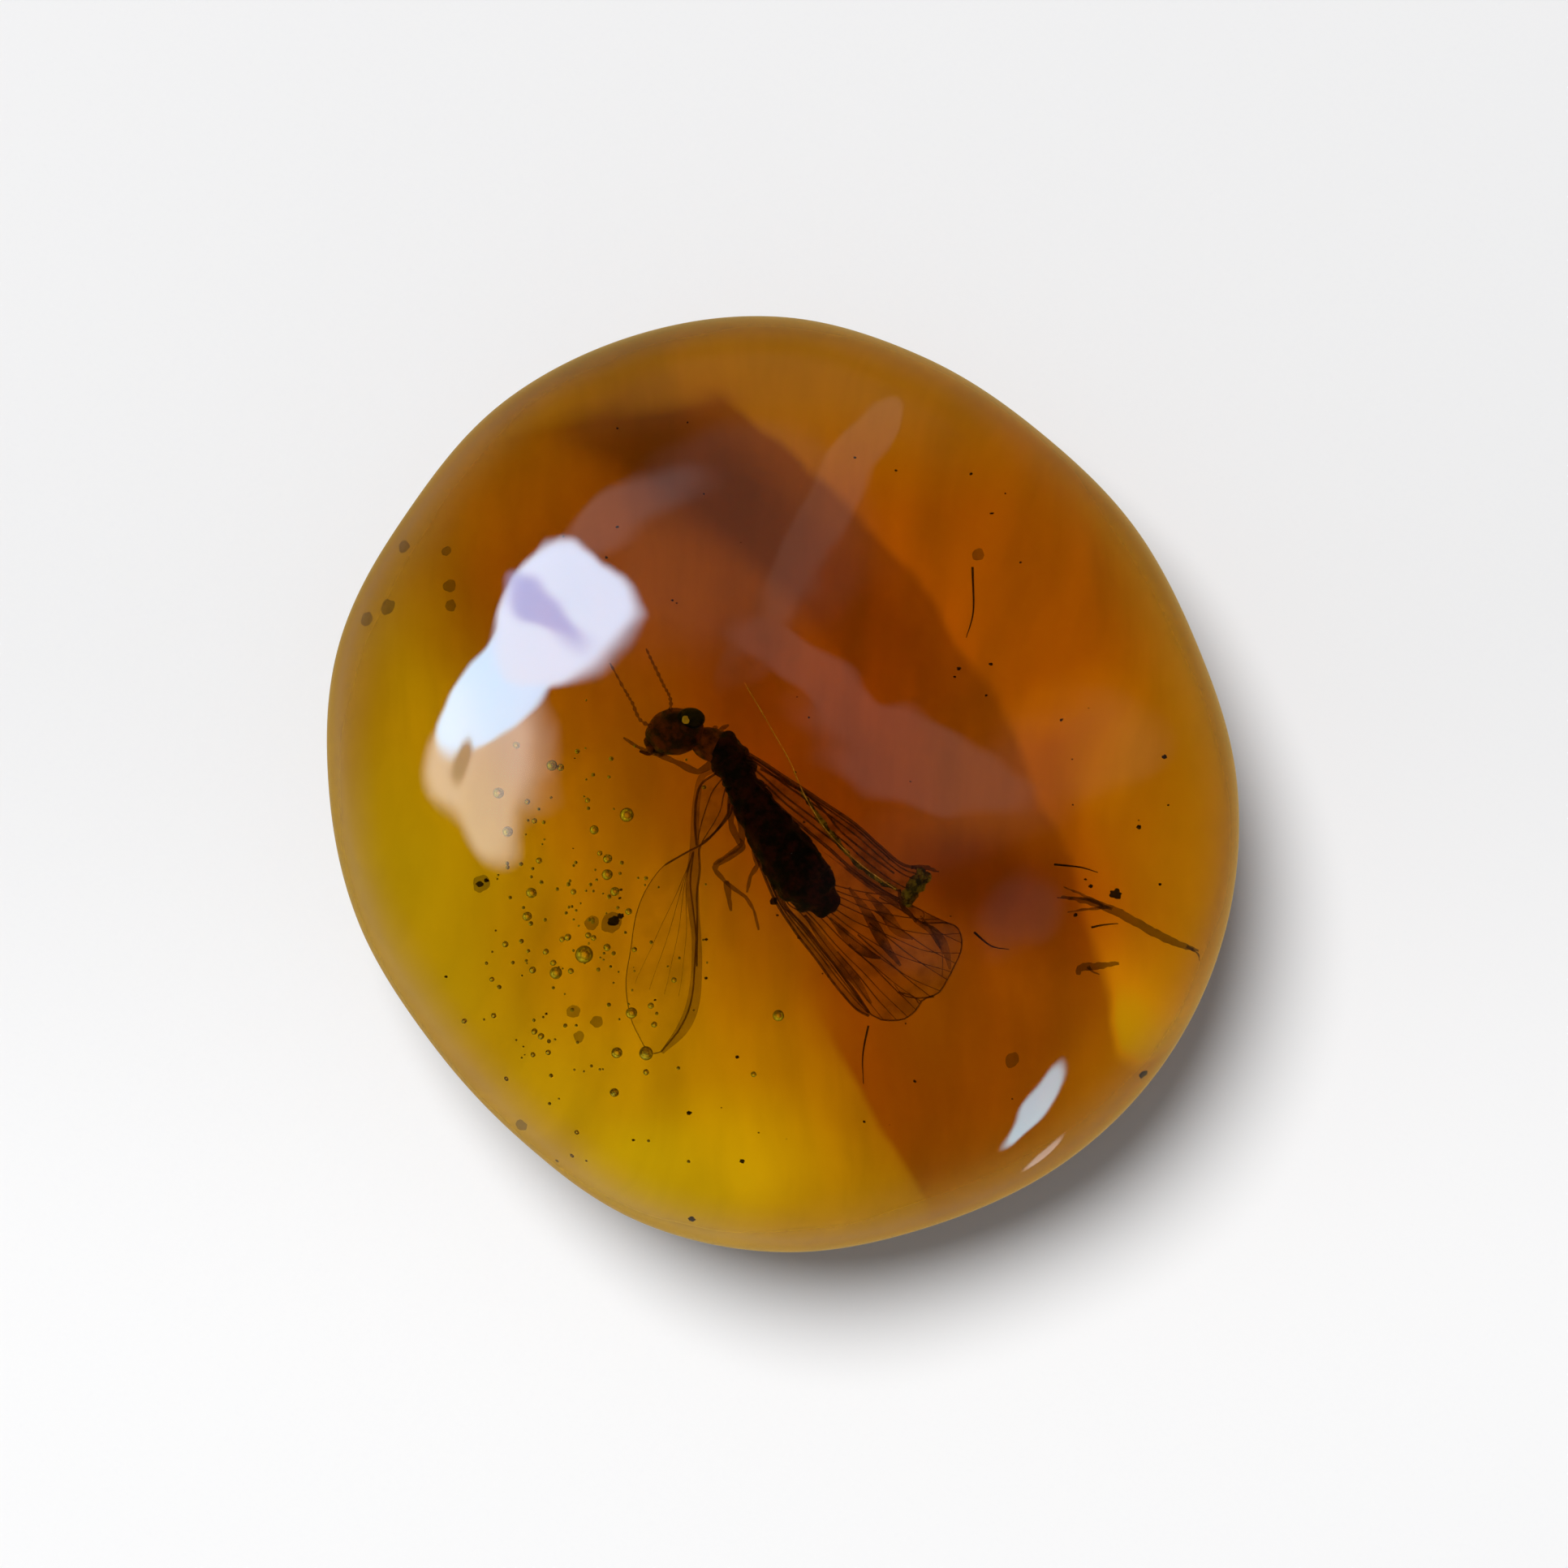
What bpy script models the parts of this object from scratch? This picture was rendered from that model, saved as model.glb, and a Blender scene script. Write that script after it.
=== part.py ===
"""Insect in amber: a polished amber pebble with a winged insect and plant debris sealed in it.

The pebble lies on its flat underside. +Z is up, the insect's head points to -X +Y, and the
origin is the middle of the underside. The amber is parted on a level plane through the
inclusions, and each half has its share of the two pockets that hold them.

Every size and place below is in millimetres. Meshes are brought to metres as they are finished.
"""

import math

import bmesh
import bpy
from mathutils import Matrix, Vector

MILLIMETRE = 0.001
SHARP_ANGLE = math.radians(35.0)

# The amber pebble.
GIRTH_RADII = (  # every 18 degrees, clockwise from +Y as seen from above
    11.98, 11.54, 11.18, 11.17, 11.22, 11.64, 11.93, 12.10, 12.11, 11.99,
    12.02, 11.83, 11.38, 11.23, 11.48, 11.70, 12.00, 11.95, 12.17, 12.14,
)
GIRTH_HEIGHT = 4.3  # the widest level above the underside
DOME_RISE = 6.7  # girth to summit
KEEL_DROP = 5.3  # girth to the bottom the pebble had before its underside was ground flat
FULLNESS = 2.3  # exponent of the profile: 2 is an ellipse, more is squarer
UNDERSIDE_DEPTH = 4.32  # girth to the ground underside, a hair past the resting plane
POLISH_FLATS = (  # azimuth and tilt in degrees, distance from the girth's centre
    (152.0, 44.0, 9.7),
    (28.0, 46.0, 9.45),
    (-68.0, 44.0, 9.75),
)
EDGE_SOFTNESS = 26  # how crisply the flats meet the round form
PEBBLE_DETAIL = 5  # icosphere subdivisions

# The parting of the amber and the pockets in it.
PARTING_HEIGHT = 6.0
PARTING_GAP = 0.3
POCKET_CLEARANCE = 0.45  # how far a pocket's hull is let out past its contents

# The insect's body: centre-line points (x, y, z) with the half width at each.
HEAD_LINE = ((-3.26, 1.12, 6.42), (-2.55, 1.27, 6.5), (-1.9, 1.36, 6.48))
HEAD_HALF_WIDTH = 0.56
EYE_CENTRE = (-2.24, 1.56, 6.74)
EYE_RADIUS = 0.29
NECK = (((-2.15, 1.15, 6.42), 0.24), ((-1.75, 0.98, 6.4), 0.3), ((-1.4, 0.8, 6.4), 0.36))
THORAX = (
    ((-1.82, 1.05, 6.42), 0.22), ((-1.6, 0.9, 6.42), 0.4), ((-1.3, 0.58, 6.42), 0.46),
    ((-1.1, 0.3, 6.4), 0.42), ((-0.98, 0.05, 6.38), 0.34),
)
ABDOMEN_LINE = ((-1.12, 0.25, 6.38), (-0.86, -0.3, 6.36), (-0.4, -1.0, 6.34), (0.17, -1.77, 6.3),
                (0.65, -2.36, 6.26), (1.1, -2.9, 6.22))
ABDOMEN_HALF_WIDTHS = (0.32, 0.44, 0.56, 0.66, 0.64, 0.3)
ABDOMEN_SEGMENTS = 9
BODY_HEIGHT_RATIO = 0.82  # body height over body width

# Limbs: routes of points, root first, with the radius at the root and at the tip.
ANTENNAE = (
    ((-2.95, 1.3, 6.6), (-3.39, 1.52, 6.72), (-3.61, 1.93, 6.8), (-3.8, 2.3, 6.85), (-4.05, 2.8, 6.8)),
    ((-2.7, 1.6, 6.7), (-2.7, 2.05, 6.8), (-2.86, 2.4, 6.85), (-3.05, 2.8, 6.85), (-3.25, 3.2, 6.8)),
)
ANTENNA_RADII = (0.055, 0.035)
LEGS = (
    ((-1.5, 0.55, 6.2), (-1.95, 0.3, 6.1), (-2.4, 0.42, 6.0), (-2.75, 0.56, 6.0), (-3.25, 0.75, 6.0),
     (-3.78, 1.13, 6.05)),
    ((-1.15, 0.2, 6.2), (-1.12, -0.6, 6.05), (-0.92, -1.5, 5.95), (-1.58, -1.9, 5.85), (-1.36, -2.28, 5.8),
     (-0.92, -2.63, 5.8), (-0.68, -3.05, 5.8), (-0.58, -3.45, 5.85)),
    ((-0.95, 0.0, 6.15), (-0.86, -0.8, 5.85), (-0.78, -1.62, 5.7), (-1.32, -2.02, 5.6), (-1.3, -2.5, 5.6),
     (-1.2, -3.0, 5.6)),
    ((-1.3, 0.8, 6.25), (-0.95, 1.05, 6.0), (-1.2, 1.3, 5.8), (-1.65, 1.45, 5.75)),
    ((-1.05, 0.35, 6.15), (-0.45, 0.35, 5.85), (-0.25, -0.3, 5.65), (0.05, -0.85, 5.65)),
    ((-0.85, -0.1, 6.1), (-0.1, -0.75, 5.7), (0.55, -1.7, 5.6), (0.95, -2.45, 5.65)),
)
LEG_RADII = (0.1, 0.045)

# Wings: leading and trailing edges, root first, and how far the tip margin bulges past them.
RIGHT_FOREWING = {
    "leading": ((-1.3, 0.75, 6.6), (-0.5, 0.56, 6.82), (0.99, -0.54, 6.85), (2.11, -1.33, 6.75), (3.67, -2.05, 6.6)),
    "trailing": ((-1.3, 0.45, 6.5), (-0.62, 0.0, 6.62), (0.45, -1.0, 6.6), (1.55, -1.95, 6.5), (3.0, -2.75, 6.45)),
    "bulge": 0.12,
}
RIGHT_HINDWING = {
    "leading": ((-1.15, 0.35, 6.25), (-0.2, -1.6, 5.95), (0.62, -3.5, 5.85), (1.3, -4.55, 5.85), (2.05, -5.3, 5.9)),
    "trailing": ((-1.05, 0.5, 6.35), (0.6, -0.75, 6.25), (1.75, -1.85, 6.2), (2.85, -2.85, 6.15), (3.72, -3.45, 6.1)),
    "bulge": 1.15,
}
LEFT_FOREWING = {
    "leading": ((-1.25, 0.3, 6.5), (-0.75, -1.1, 6.1), (-0.02, -2.7, 5.62), (0.62, -3.7, 5.55), (1.85, -5.3, 5.55)),
    "trailing": ((-1.1, 0.35, 6.4), (-0.5, -1.2, 5.95), (0.2, -2.8, 5.6), (0.95, -3.8, 5.6), (1.95, -5.2, 5.6)),
    "bulge": 0.15,
}
LEFT_HINDWING_ROOT = {  # the lobe between the thorax and the twist
    "leading": ((-1.3, 0.35, 6.5), (-1.95, -0.1, 6.6), (-2.12, -0.9, 6.5), (-2.14, -1.5, 6.36)),
    "trailing": ((-1.2, 0.0, 6.3), (-1.32, -0.6, 6.3), (-1.7, -1.12, 6.3), (-2.0, -1.5, 6.3)),
    "bulge": 0.0,
}
LEFT_HINDWING = {  # the blade beyond the twist
    "leading": ((-2.08, -1.5, 6.36), (-2.15, -2.9, 6.22), (-2.06, -4.4, 6.08), (-2.35, -5.55, 5.98),
                (-2.8, -6.2, 5.9)),
    "trailing": ((-2.34, -1.68, 6.3), (-2.72, -1.94, 6.2), (-3.3, -2.75, 6.1), (-3.62, -4.6, 5.95),
                 (-3.2, -6.1, 5.85)),
    "bulge": 0.2,
}
WINGS = (RIGHT_FOREWING, RIGHT_HINDWING, LEFT_FOREWING, LEFT_HINDWING_ROOT, LEFT_HINDWING)
TWISTED_VEIN = ((-1.3, -0.45, 6.28), (-1.7, -1.12, 6.33), (-2.1, -1.54, 6.38), (-2.66, -1.9, 6.22))
WING_THICKNESS = 0.09
WING_CROSSWISE = 6
WING_LENGTHWISE = 9
LEADING_VEIN_RADIUS = 0.085
PLEAT_RATIO = 0.07  # pleat depth over the wing's local width

# Plant debris and fibre.
SPLINTER_ROUTE = ((6.45, -2.64, 5.8), (7.1, -2.78, 5.9), (7.74, -3.03, 6.0), (8.4, -3.38, 6.05),
                  (9.2, -3.76, 6.1), (10.0, -4.05, 6.1))
SPLINTER_RADII = (0.04, 0.13, 0.11, 0.1, 0.09, 0.05)
TWIG_ROUTE = ((6.88, -4.42, 5.95), (6.95, -4.28, 6.0), (7.36, -4.26, 6.02), (7.8, -4.2, 5.95))
TWIG_RADII = (0.05, 0.09, 0.08, 0.05)
FIBRE_ROUTE = ((-0.94, 2.4, 7.2), (-0.4, 1.52, 7.3), (0.14, 0.55, 7.32), (0.5, -0.3, 7.3), (1.05, -1.15, 7.26),
               (1.86, -1.94, 7.2), (2.65, -2.5, 7.1))
FIBRE_RADIUS = 0.035
GRAIN_CENTRE = (7.74, -2.6, 6.3)
GRAIN_RADIUS = 0.13

AMBER_FINISH = {"colour": (0.62, 0.25, 0.02), "roughness": 0.05}
INSECT_FINISH = {"colour": (0.05, 0.02, 0.01), "roughness": 0.5}
PLANT_FINISH = {"colour": (0.09, 0.06, 0.02), "roughness": 0.8}
FIBRE_FINISH = {"colour": (0.8, 0.7, 0.55), "roughness": 0.35}
GRAIN_FINISH = {"colour": (0.02, 0.015, 0.01), "roughness": 0.9}


def clear_scene():
    """Start from an empty scene."""
    for thing in list(bpy.data.objects):
        bpy.data.objects.remove(thing, do_unlink=True)


def principled(name, finish):
    """A material of one colour and roughness."""
    material = bpy.data.materials.new(name)
    material.use_nodes = True
    shader = material.node_tree.nodes["Principled BSDF"]
    shader.inputs["Base Color"].default_value = (*finish["colour"], 1.0)
    shader.inputs["Roughness"].default_value = finish["roughness"]
    shader.inputs["Metallic"].default_value = 0.0
    return material


def finish_object(name, bm, finish):
    """Turn a millimetre bmesh into a smooth-shaded object in metres; with no finish it is hidden."""
    bmesh.ops.recalc_face_normals(bm, faces=bm.faces)
    bmesh.ops.scale(bm, vec=(MILLIMETRE,) * 3, verts=bm.verts)
    mesh = bpy.data.meshes.new(name)
    bm.to_mesh(mesh)
    bm.free()
    mesh.shade_smooth()
    mesh.set_sharp_from_angle(angle=SHARP_ANGLE)
    thing = bpy.data.objects.new(name, mesh)
    bpy.context.collection.objects.link(thing)
    if finish is None:
        thing.hide_render = True
        thing.display_type = "WIRE"
    else:
        mesh.materials.append(principled(name, finish))
    return thing


def fuse_all(thing, forms):
    """Fuse an object with a collection of hidden forms."""
    group = bpy.data.collections.new(f"{thing.name}_forms")
    bpy.context.scene.collection.children.link(group)
    for form in forms:
        group.objects.link(form)
    modifier = thing.modifiers.new("fuse", "BOOLEAN")
    modifier.operation = "UNION"
    modifier.solver = "EXACT"
    modifier.operand_type = "COLLECTION"
    modifier.collection = group


def cut_pocket(half, pocket):
    """Cut a pocket from one half of the pebble."""
    modifier = half.modifiers.new(pocket.name, "BOOLEAN")
    modifier.operation = "DIFFERENCE"
    modifier.solver = "EXACT"
    modifier.object = pocket


def smooth_curve(points, count):
    """Points spread evenly in parameter along a Catmull-Rom curve through the given ones."""
    knots = [Vector(point) for point in points]
    knots = [2 * knots[0] - knots[1], *knots, 2 * knots[-1] - knots[-2]]
    spans = len(knots) - 3
    curve = []
    for step in range(count):
        place = step / (count - 1) * spans
        span = min(int(place), spans - 1)
        t = place - span
        a, b, c, d = knots[span:span + 4]
        curve.append(b + 0.5 * t * (c - a + t * (2 * a - 5 * b + 4 * c - d + t * (3 * (b - c) + d - a))))
    return curve


def ring_frame(before, point, after, half_width, half_height):
    """Place and size of one ring of a tube, square to the tube's route."""
    along = (after - before).normalized()
    across = along.cross(Vector((0.0, 0.0, 1.0))).normalized()
    lift = across.cross(along)
    turn = Matrix((across, lift, along)).transposed().to_4x4()
    size = Matrix.Diagonal((half_width, half_height, 1.0, 1.0))
    return Matrix.Translation(point) @ turn @ size


def add_tube(bm, route, radii, sides, height_ratio=1.0):
    """Extrude a closed tube of changing radius along a route of points."""
    ends = [2 * route[0] - route[1], *route, 2 * route[-1] - route[-2]]
    frames = [
        ring_frame(ends[i], ends[i + 1], ends[i + 2], radius, radius * height_ratio)
        for i, radius in enumerate(radii)
    ]
    ring = bmesh.ops.create_circle(bm, segments=sides, radius=1.0, matrix=frames[0])
    skin = list({edge for vertex in ring["verts"] for edge in vertex.link_edges})
    front = skin
    for previous, frame in zip(frames, frames[1:]):
        grown = bmesh.ops.extrude_edge_only(bm, edges=front)["geom"]
        moved = [item for item in grown if isinstance(item, bmesh.types.BMVert)]
        front = [item for item in grown if isinstance(item, bmesh.types.BMEdge)]
        bmesh.ops.transform(bm, matrix=frame @ previous.inverted(), verts=moved)
    bmesh.ops.holes_fill(bm, edges=[*skin, *front], sides=0)


def even_radii(count, first, last):
    """Radii that change steadily from first to last."""
    return [first + (last - first) * step / (count - 1) for step in range(count)]


def tube_object(name, points, radii, sides, finish, detail=0):
    """A tube through the points, smoothed to detail rings when that is given."""
    bm = bmesh.new()
    route = smooth_curve(points, detail) if detail else [Vector(point) for point in points]
    radii = even_radii(len(route), *radii) if detail else radii
    add_tube(bm, route, radii, sides)
    return finish_object(name, bm, finish)


def girth_radius(direction):
    """Radius of the pebble's widest outline in a level direction."""
    steps = len(GIRTH_RADII)
    place = math.atan2(direction.x, direction.y) / math.tau * steps % steps
    step = int(place)
    t = place - step
    a, b, c, d = (GIRTH_RADII[(step + k) % steps] for k in (-1, 0, 1, 2))
    return b + 0.5 * t * (c - a + t * (2 * a - 5 * b + 4 * c - d + t * (3 * (b - c) + d - a)))


def pebble_point(direction):
    """The pebble's surface point in a direction from the middle of its girth."""
    level = math.hypot(direction.x, direction.y) / girth_radius(direction)
    upright = abs(direction.z) / (DOME_RISE if direction.z > 0 else KEEL_DROP)
    nearness = (level ** FULLNESS + upright ** FULLNESS) ** (EDGE_SOFTNESS / FULLNESS)
    flats = [(Vector((0.0, 0.0, -1.0)), UNDERSIDE_DEPTH)]
    for azimuth, tilt, distance in POLISH_FLATS:
        turn, lean = math.radians(azimuth), math.radians(tilt)
        facing = Vector((math.sin(lean) * math.cos(turn), math.sin(lean) * math.sin(turn), math.cos(lean)))
        flats.append((facing, distance))
    for facing, distance in flats:
        nearness += max(0.0, direction.dot(facing) / distance) ** EDGE_SOFTNESS
    point = direction * nearness ** (-1.0 / EDGE_SOFTNESS)
    point.z = max(0.0, GIRTH_HEIGHT + point.z)
    return point


def pebble_half(name, upper):
    """One half of the pebble, cut level a little off the parting plane."""
    bm = bmesh.new()
    bmesh.ops.create_icosphere(bm, subdivisions=PEBBLE_DETAIL, radius=1.0)
    for vertex in bm.verts:
        vertex.co = pebble_point(vertex.co.normalized())
    cut_height = PARTING_HEIGHT + PARTING_GAP / 2 * (1 if upper else -1)
    everything = [*bm.verts, *bm.edges, *bm.faces]
    cut = bmesh.ops.bisect_plane(
        bm, geom=everything, dist=0.0001, plane_co=(0.0, 0.0, cut_height),
        plane_no=(0.0, 0.0, -1.0 if upper else 1.0), clear_outer=True,
    )
    rim = [item for item in cut["geom_cut"] if isinstance(item, bmesh.types.BMEdge)]
    bmesh.ops.contextual_create(bm, geom=rim)
    return finish_object(name, bm, AMBER_FINISH)


def pocket_cutter(name, contents):
    """The convex space around some inclusions, let out on every side."""
    graph = bpy.context.evaluated_depsgraph_get()
    bm = bmesh.new()
    for thing in contents:
        shape = thing.evaluated_get(graph).to_mesh()
        for vertex in shape.vertices:
            place = vertex.co / MILLIMETRE
            for axis in range(3):
                step = Vector((0.0, 0.0, 0.0))
                step[axis] = POCKET_CLEARANCE
                bm.verts.new(place + step)
                bm.verts.new(place - step)
        thing.to_mesh_clear()
    hull = bmesh.ops.convex_hull(bm, input=bm.verts)
    inside = [item for item in hull["geom_interior"] if isinstance(item, bmesh.types.BMVert)]
    bmesh.ops.delete(bm, geom=inside, context="VERTS")
    bmesh.ops.dissolve_limit(bm, angle_limit=math.radians(7.0), verts=bm.verts, edges=bm.edges)
    bmesh.ops.triangulate(bm, faces=bm.faces)
    return finish_object(name, bm, None)


def add_wing(bm, wing):
    """A thin pleated blade between its leading and trailing edges, with a thick leading vein."""
    grid = bmesh.ops.create_grid(bm, x_segments=WING_LENGTHWISE, y_segments=WING_CROSSWISE, size=0.5)
    leading = smooth_curve(wing["leading"], WING_LENGTHWISE + 1)
    trailing = smooth_curve(wing["trailing"], WING_LENGTHWISE + 1)
    outwards = (leading[-1] - leading[-2] + trailing[-1] - trailing[-2]).normalized()
    for vertex in grid["verts"]:
        station = round((vertex.co.x + 0.5) * WING_LENGTHWISE)
        chord = vertex.co.y + 0.5
        place = leading[station].lerp(trailing[station], chord)
        reach = (station / WING_LENGTHWISE) ** 3 * wing["bulge"]
        width = (trailing[station] - leading[station]).length
        place += outwards * reach * math.sin(math.pi * chord)
        place.z += PLEAT_RATIO * width * math.cos(math.pi * chord * WING_CROSSWISE) / 2
        vertex.co = place
    faces = list({face for vertex in grid["verts"] for face in vertex.link_faces})
    bmesh.ops.solidify(bm, geom=faces, thickness=WING_THICKNESS)
    bmesh.ops.triangulate(bm, faces=bm.faces)


def insect_limbs():
    """Every limb as a closed solid of its own, hidden, to be fused to the thorax."""
    limbs = []
    vein_radii = (LEADING_VEIN_RADIUS, LEADING_VEIN_RADIUS / 2)
    for number, wing in enumerate(WINGS, start=1):
        limbs.append(tube_object(f"vein_{number}_form", wing["leading"], vein_radii, 5, None, detail=7))
    thin_vein_radii = (LEADING_VEIN_RADIUS / 2, LEADING_VEIN_RADIUS / 2)
    limbs.append(tube_object("twisted_vein_form", TWISTED_VEIN, thin_vein_radii, 5, None, detail=5))
    for number, wing in enumerate(WINGS, start=1):
        bm = bmesh.new()
        add_wing(bm, wing)
        limbs.append(finish_object(f"wing_{number}_form", bm, None))
    for number, route in enumerate(LEGS, start=1):
        radii = even_radii(len(route), *LEG_RADII)
        limbs.append(tube_object(f"leg_{number}_form", route, radii, 6, None))
    for number, route in enumerate(ANTENNAE, start=1):
        radii = even_radii(len(route), *ANTENNA_RADII)
        limbs.append(tube_object(f"antenna_{number}_form", route, radii, 5, None))
    return limbs


def head_form():
    """The rounded head."""
    rings = 7
    stations = [math.cos(math.pi * (ring + 0.6) / (rings + 0.2)) for ring in range(rings)]
    line = [Vector(point) for point in HEAD_LINE]
    middle = (line[0] + line[2]) / 2
    route = [middle - (line[2] - line[0]) / 2 * station for station in stations]
    radii = [HEAD_HALF_WIDTH * math.sqrt(1 - station ** 2) for station in stations]
    bm = bmesh.new()
    add_tube(bm, route, radii, 12, BODY_HEIGHT_RATIO)
    return finish_object("head_form", bm, None)


def eye_form():
    """The compound eye, a bulge on the head."""
    bm = bmesh.new()
    place = Matrix.Translation(Vector(EYE_CENTRE)) @ Matrix.Diagonal((1.0, 1.0, 0.6, 1.0))
    bmesh.ops.create_icosphere(bm, subdivisions=2, radius=EYE_RADIUS, matrix=place)
    return finish_object("eye_form", bm, None)


def abdomen_form():
    """The club-shaped abdomen, drawn in a little between its segments."""
    rings = ABDOMEN_SEGMENTS * 2 + 1
    route = smooth_curve(ABDOMEN_LINE, rings)
    widths = smooth_curve([(width, 0.0, 0.0) for width in ABDOMEN_HALF_WIDTHS], rings)
    radii = [width.x * (1.0 if ring % 2 else 0.94) for ring, width in enumerate(widths)]
    bm = bmesh.new()
    add_tube(bm, route, radii, 12, BODY_HEIGHT_RATIO)
    return finish_object("abdomen_form", bm, None)


def build_insect():
    """The whole insect as one solid: thorax with everything that grows from it."""
    bm = bmesh.new()
    add_tube(bm, [Vector(place) for place, _ in THORAX], [radius for _, radius in THORAX], 12, BODY_HEIGHT_RATIO)
    insect = finish_object("insect", bm, INSECT_FINISH)
    neck = tube_object("neck_form", [place for place, _ in NECK], [radius for _, radius in NECK], 10, None)
    fuse_all(insect, (abdomen_form(), neck, head_form(), eye_form(), *insect_limbs()))
    return insect


def build_debris():
    """The plant debris, the grain and the fibre."""
    splinter = tube_object("plant_splinter", SPLINTER_ROUTE, SPLINTER_RADII, 6, PLANT_FINISH)
    twig = tube_object("twig_fragment", TWIG_ROUTE, TWIG_RADII, 6, PLANT_FINISH)
    fibre = tube_object("silk_fibre", FIBRE_ROUTE, (FIBRE_RADIUS, FIBRE_RADIUS), 6, FIBRE_FINISH, detail=12)
    bm = bmesh.new()
    place = Matrix.Translation(Vector(GRAIN_CENTRE)) @ Matrix.Diagonal((1.0, 0.8, 0.7, 1.0))
    bmesh.ops.create_icosphere(bm, subdivisions=1, radius=GRAIN_RADIUS, matrix=place)
    grain = finish_object("debris_grain", bm, GRAIN_FINISH)
    return splinter, twig, fibre, grain


def main():
    clear_scene()
    insect = build_insect()
    splinter, twig, fibre, grain = build_debris()
    pockets = (
        pocket_cutter("insect_pocket", (insect, fibre)),
        pocket_cutter("debris_pocket", (splinter, twig, grain)),
    )
    for half in (pebble_half("amber_upper", True), pebble_half("amber_lower", False)):
        for pocket in pockets:
            cut_pocket(half, pocket)


main()
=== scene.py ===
"""Dresses the insect in amber: one clear pebble, its bubbles, the insect and the debris in it.

Lengths in this file are millimetres in the part's own frame; meshes are brought to metres as
they are finished. The pebble's form follows the same formula as the solids.
"""

import logging
import math
import random
from dataclasses import dataclass, field
from enum import Enum
from typing import Sequence

import bmesh
import bpy
from mathutils import Matrix, Vector, noise


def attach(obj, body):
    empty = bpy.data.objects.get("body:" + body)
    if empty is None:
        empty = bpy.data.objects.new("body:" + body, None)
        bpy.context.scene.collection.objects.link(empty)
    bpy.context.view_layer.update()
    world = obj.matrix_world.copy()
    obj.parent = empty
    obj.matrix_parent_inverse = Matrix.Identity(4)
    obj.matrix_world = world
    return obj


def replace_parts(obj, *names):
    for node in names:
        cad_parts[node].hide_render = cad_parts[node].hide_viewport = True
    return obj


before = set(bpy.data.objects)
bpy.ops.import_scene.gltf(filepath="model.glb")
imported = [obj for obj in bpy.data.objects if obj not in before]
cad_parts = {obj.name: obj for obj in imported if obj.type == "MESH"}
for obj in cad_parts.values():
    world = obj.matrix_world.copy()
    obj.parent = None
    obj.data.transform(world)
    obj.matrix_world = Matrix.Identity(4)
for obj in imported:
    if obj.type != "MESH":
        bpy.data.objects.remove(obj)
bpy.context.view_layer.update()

LOG = logging.getLogger("amber")
MILLIMETRE = 0.001
BODY = "root"
SEALED_SPECULAR = 0.08
FAR = 1000.0

Pair = tuple[float, float]
Point = tuple[float, float, float]
Dot = tuple[float, float, float, float]
Colour = tuple[float, float, float]
Route = Sequence[Point]
Mesh = bmesh.types.BMesh
Piece = bpy.types.Object
Material = bpy.types.Material
Node = bpy.types.Node
Socket = bpy.types.NodeSocket


class Slot(Enum):
    """Material slots of the record; each piece's slot is logged as it is finished."""

    AMBER = "amber"
    INSECT = "insect"
    PLANT = "plant"
    FIBRE = "fibre"
    GRAIN = "grain"


# ---- Shapes ----


def smooth_route(points: Sequence[Sequence[float]], count: int) -> list[Vector]:
    """Points along a Catmull-Rom curve through the given ones.

    Args:
        points: the places that the curve passes through, of three numbers each.
        count: how many points are wanted, both ends included.

    Returns:
        The points, evenly spaced in the curve's parameter.
    """
    knots = [Vector(point) for point in points]
    knots = [2 * knots[0] - knots[1], *knots, 2 * knots[-1] - knots[-2]]
    spans = len(knots) - 3
    route = []
    for step in range(count):
        place = step / (count - 1) * spans
        span = min(int(place), spans - 1)
        t = place - span
        a, b, c, d = knots[span:span + 4]
        route.append(b + 0.5 * t * (c - a + t * (2 * a - 5 * b + 4 * c - d + t * (3 * (b - c) + d - a))))
    return route


def smooth_widths(widths: Sequence[float], count: int) -> list[float]:
    """Half widths along a tube, smoothed between the given ones.

    Args:
        widths: half widths at even steps.
        count: how many are wanted.

    Returns:
        The smoothed half widths.
    """
    return [max(width.x, 0.004) for width in smooth_route([(w, 0.0, 0.0) for w in widths], count)]


def roughness_at(place: Vector, size: float, seed: float = 0.0) -> float:
    """Smooth noise from -1 to 1 whose lumps are about size across.

    Args:
        place: where to read it.
        size: width of its lumps.
        seed: moves the pattern.

    Returns:
        The noise value.
    """
    return noise.noise(place / size + Vector((seed, seed * 1.7, -seed)))


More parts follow.
